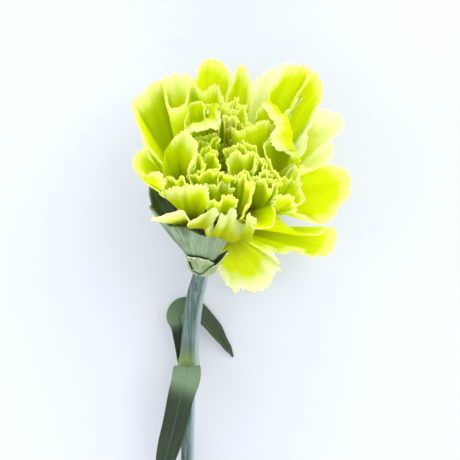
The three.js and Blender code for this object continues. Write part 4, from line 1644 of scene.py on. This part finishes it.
AIM_HEIGHT = 0.03  # m, where the lights point
FLOOR_GLOW = 0.295  # strength of the light from below the table
FLOOR_GRAIN = 0.985  # how far the table's grain darkens it
LIGHTS = (
    # name, place in m, side in m, share of the key's power, colour
    ("key_softbox", (0.55, 0.45, 0.65), 0.7, 1.1, "#ffffff"),
    ("fill_softbox", (-0.75, 0.0, 0.4), 0.9, 1.0, "#f2f6ff"),
    ("front_softbox", (0.0, -0.8, 0.3), 0.8, 1.65, "#ffffff"),
    ("back_softbox", (0.1, 0.9, 0.35), 0.8, 1.5, "#ffffff"),
)


def make_stage(scene, settings):
    material, tree, shader = start_material("matt_table_board")
    grain = noise_over(tree, own_place(tree), 2.0, 2.0)
    board = blend_colours(tree, grain, settings.floor, [c * FLOOR_GRAIN for c in settings.floor])
    tree.links.new(board, shader.inputs["Base Color"])
    shader.inputs["Roughness"].default_value = 0.85
    shader.inputs["Emission Color"].default_value = settings.floor_glow
    shader.inputs["Emission Strength"].default_value = FLOOR_GLOW
    bpy.ops.mesh.primitive_plane_add(size=6.0)
    floor = bpy.context.active_object
    floor.name = "table_top"
    floor.data.materials.append(material)

    world = bpy.data.worlds.new("studio")
    world.use_nodes = True
    background = world.node_tree.nodes["Background"]
    background.inputs["Color"].default_value = settings.sky
    background.inputs["Strength"].default_value = settings.sky_strength
    scene.world = world

    below = (VIEW_MIDDLE - ORIGIN[:2]) * MM
    aim = Vector((*below, AIM_HEIGHT))
    for name, spot, side, share, code in LIGHTS:
        data = bpy.data.lights.new(name, "AREA")
        data.size = side
        data.energy = settings.key_power * share
        data.color = linear_colour(code)[:3]
        light = bpy.data.objects.new(name, data)
        light.location = spot
        light.rotation_euler = (aim - Vector(spot)).to_track_quat("-Z", "Y").to_euler()
        scene.collection.objects.link(light)

    lens = bpy.data.cameras.new("view")
    lens.sensor_fit = "HORIZONTAL"
    lens.angle = 2 * math.atan(VIEW_PIXELS / 2 * PIXEL_SIZE / PIXEL_REACH)
    lens.clip_start = 0.01
    camera = bpy.data.objects.new("view", lens)
    camera.location = (*below, settings.camera_height)
    camera.rotation_euler = (0, 0, 0)
    scene.collection.objects.link(camera)
    scene.camera = camera
    scene.view_settings.view_transform = "Standard"


# ---------------------------------------------------------------- panel and registration


class CARNATION_PT_panel(bpy.types.Panel):
    """Lists the carnation's pieces and their settings"""

    bl_idname = "CARNATION_PT_panel"
    bl_label = "Carnation"
    bl_space_type = "VIEW_3D"
    bl_region_type = "UI"
    bl_category = "Carnation"

    def draw(self, context):
        groups = (
            (context.scene.carnation_bloom, (CARNATION_OT_petals,)),
            (
                context.scene.carnation_green,
                (CARNATION_OT_calyx, CARNATION_OT_bracts, CARNATION_OT_leaves, CARNATION_OT_stem),
            ),
            (context.scene.carnation_stage, (CARNATION_OT_stage,)),
        )
        for settings, operators in groups:
            box = self.layout.box()
            for name in settings.__annotations__:
                box.prop(settings, name)
            for operator in operators:
                box.operator(operator.bl_idname)


SETTINGS = {
    "carnation_bloom": BloomSettings,
    "carnation_green": GreenSettings,
    "carnation_stage": StageSettings,
}
OPERATORS = (
    CARNATION_OT_stem,
    CARNATION_OT_leaves,
    CARNATION_OT_bracts,
    CARNATION_OT_calyx,
    CARNATION_OT_petals,
    CARNATION_OT_stage,
)


def register():
    for name, group in SETTINGS.items():
        bpy.utils.register_class(group)
        setattr(bpy.types.Scene, name, PointerProperty(type=group))
    for operator in OPERATORS:
        bpy.utils.register_class(operator)
    bpy.utils.register_class(CARNATION_PT_panel)


def unregister():
    bpy.utils.unregister_class(CARNATION_PT_panel)
    for operator in reversed(OPERATORS):
        bpy.utils.unregister_class(operator)
    for name, group in SETTINGS.items():
        delattr(bpy.types.Scene, name)
        bpy.utils.unregister_class(group)


def main():
    register()
    bpy.ops.carnation.stage()
    bpy.ops.carnation.stem()
    bpy.ops.carnation.leaves()
    bpy.ops.carnation.bracts()
    bpy.ops.carnation.calyx()
    bpy.ops.carnation.petals()


if __name__ == "__main__":
    main()
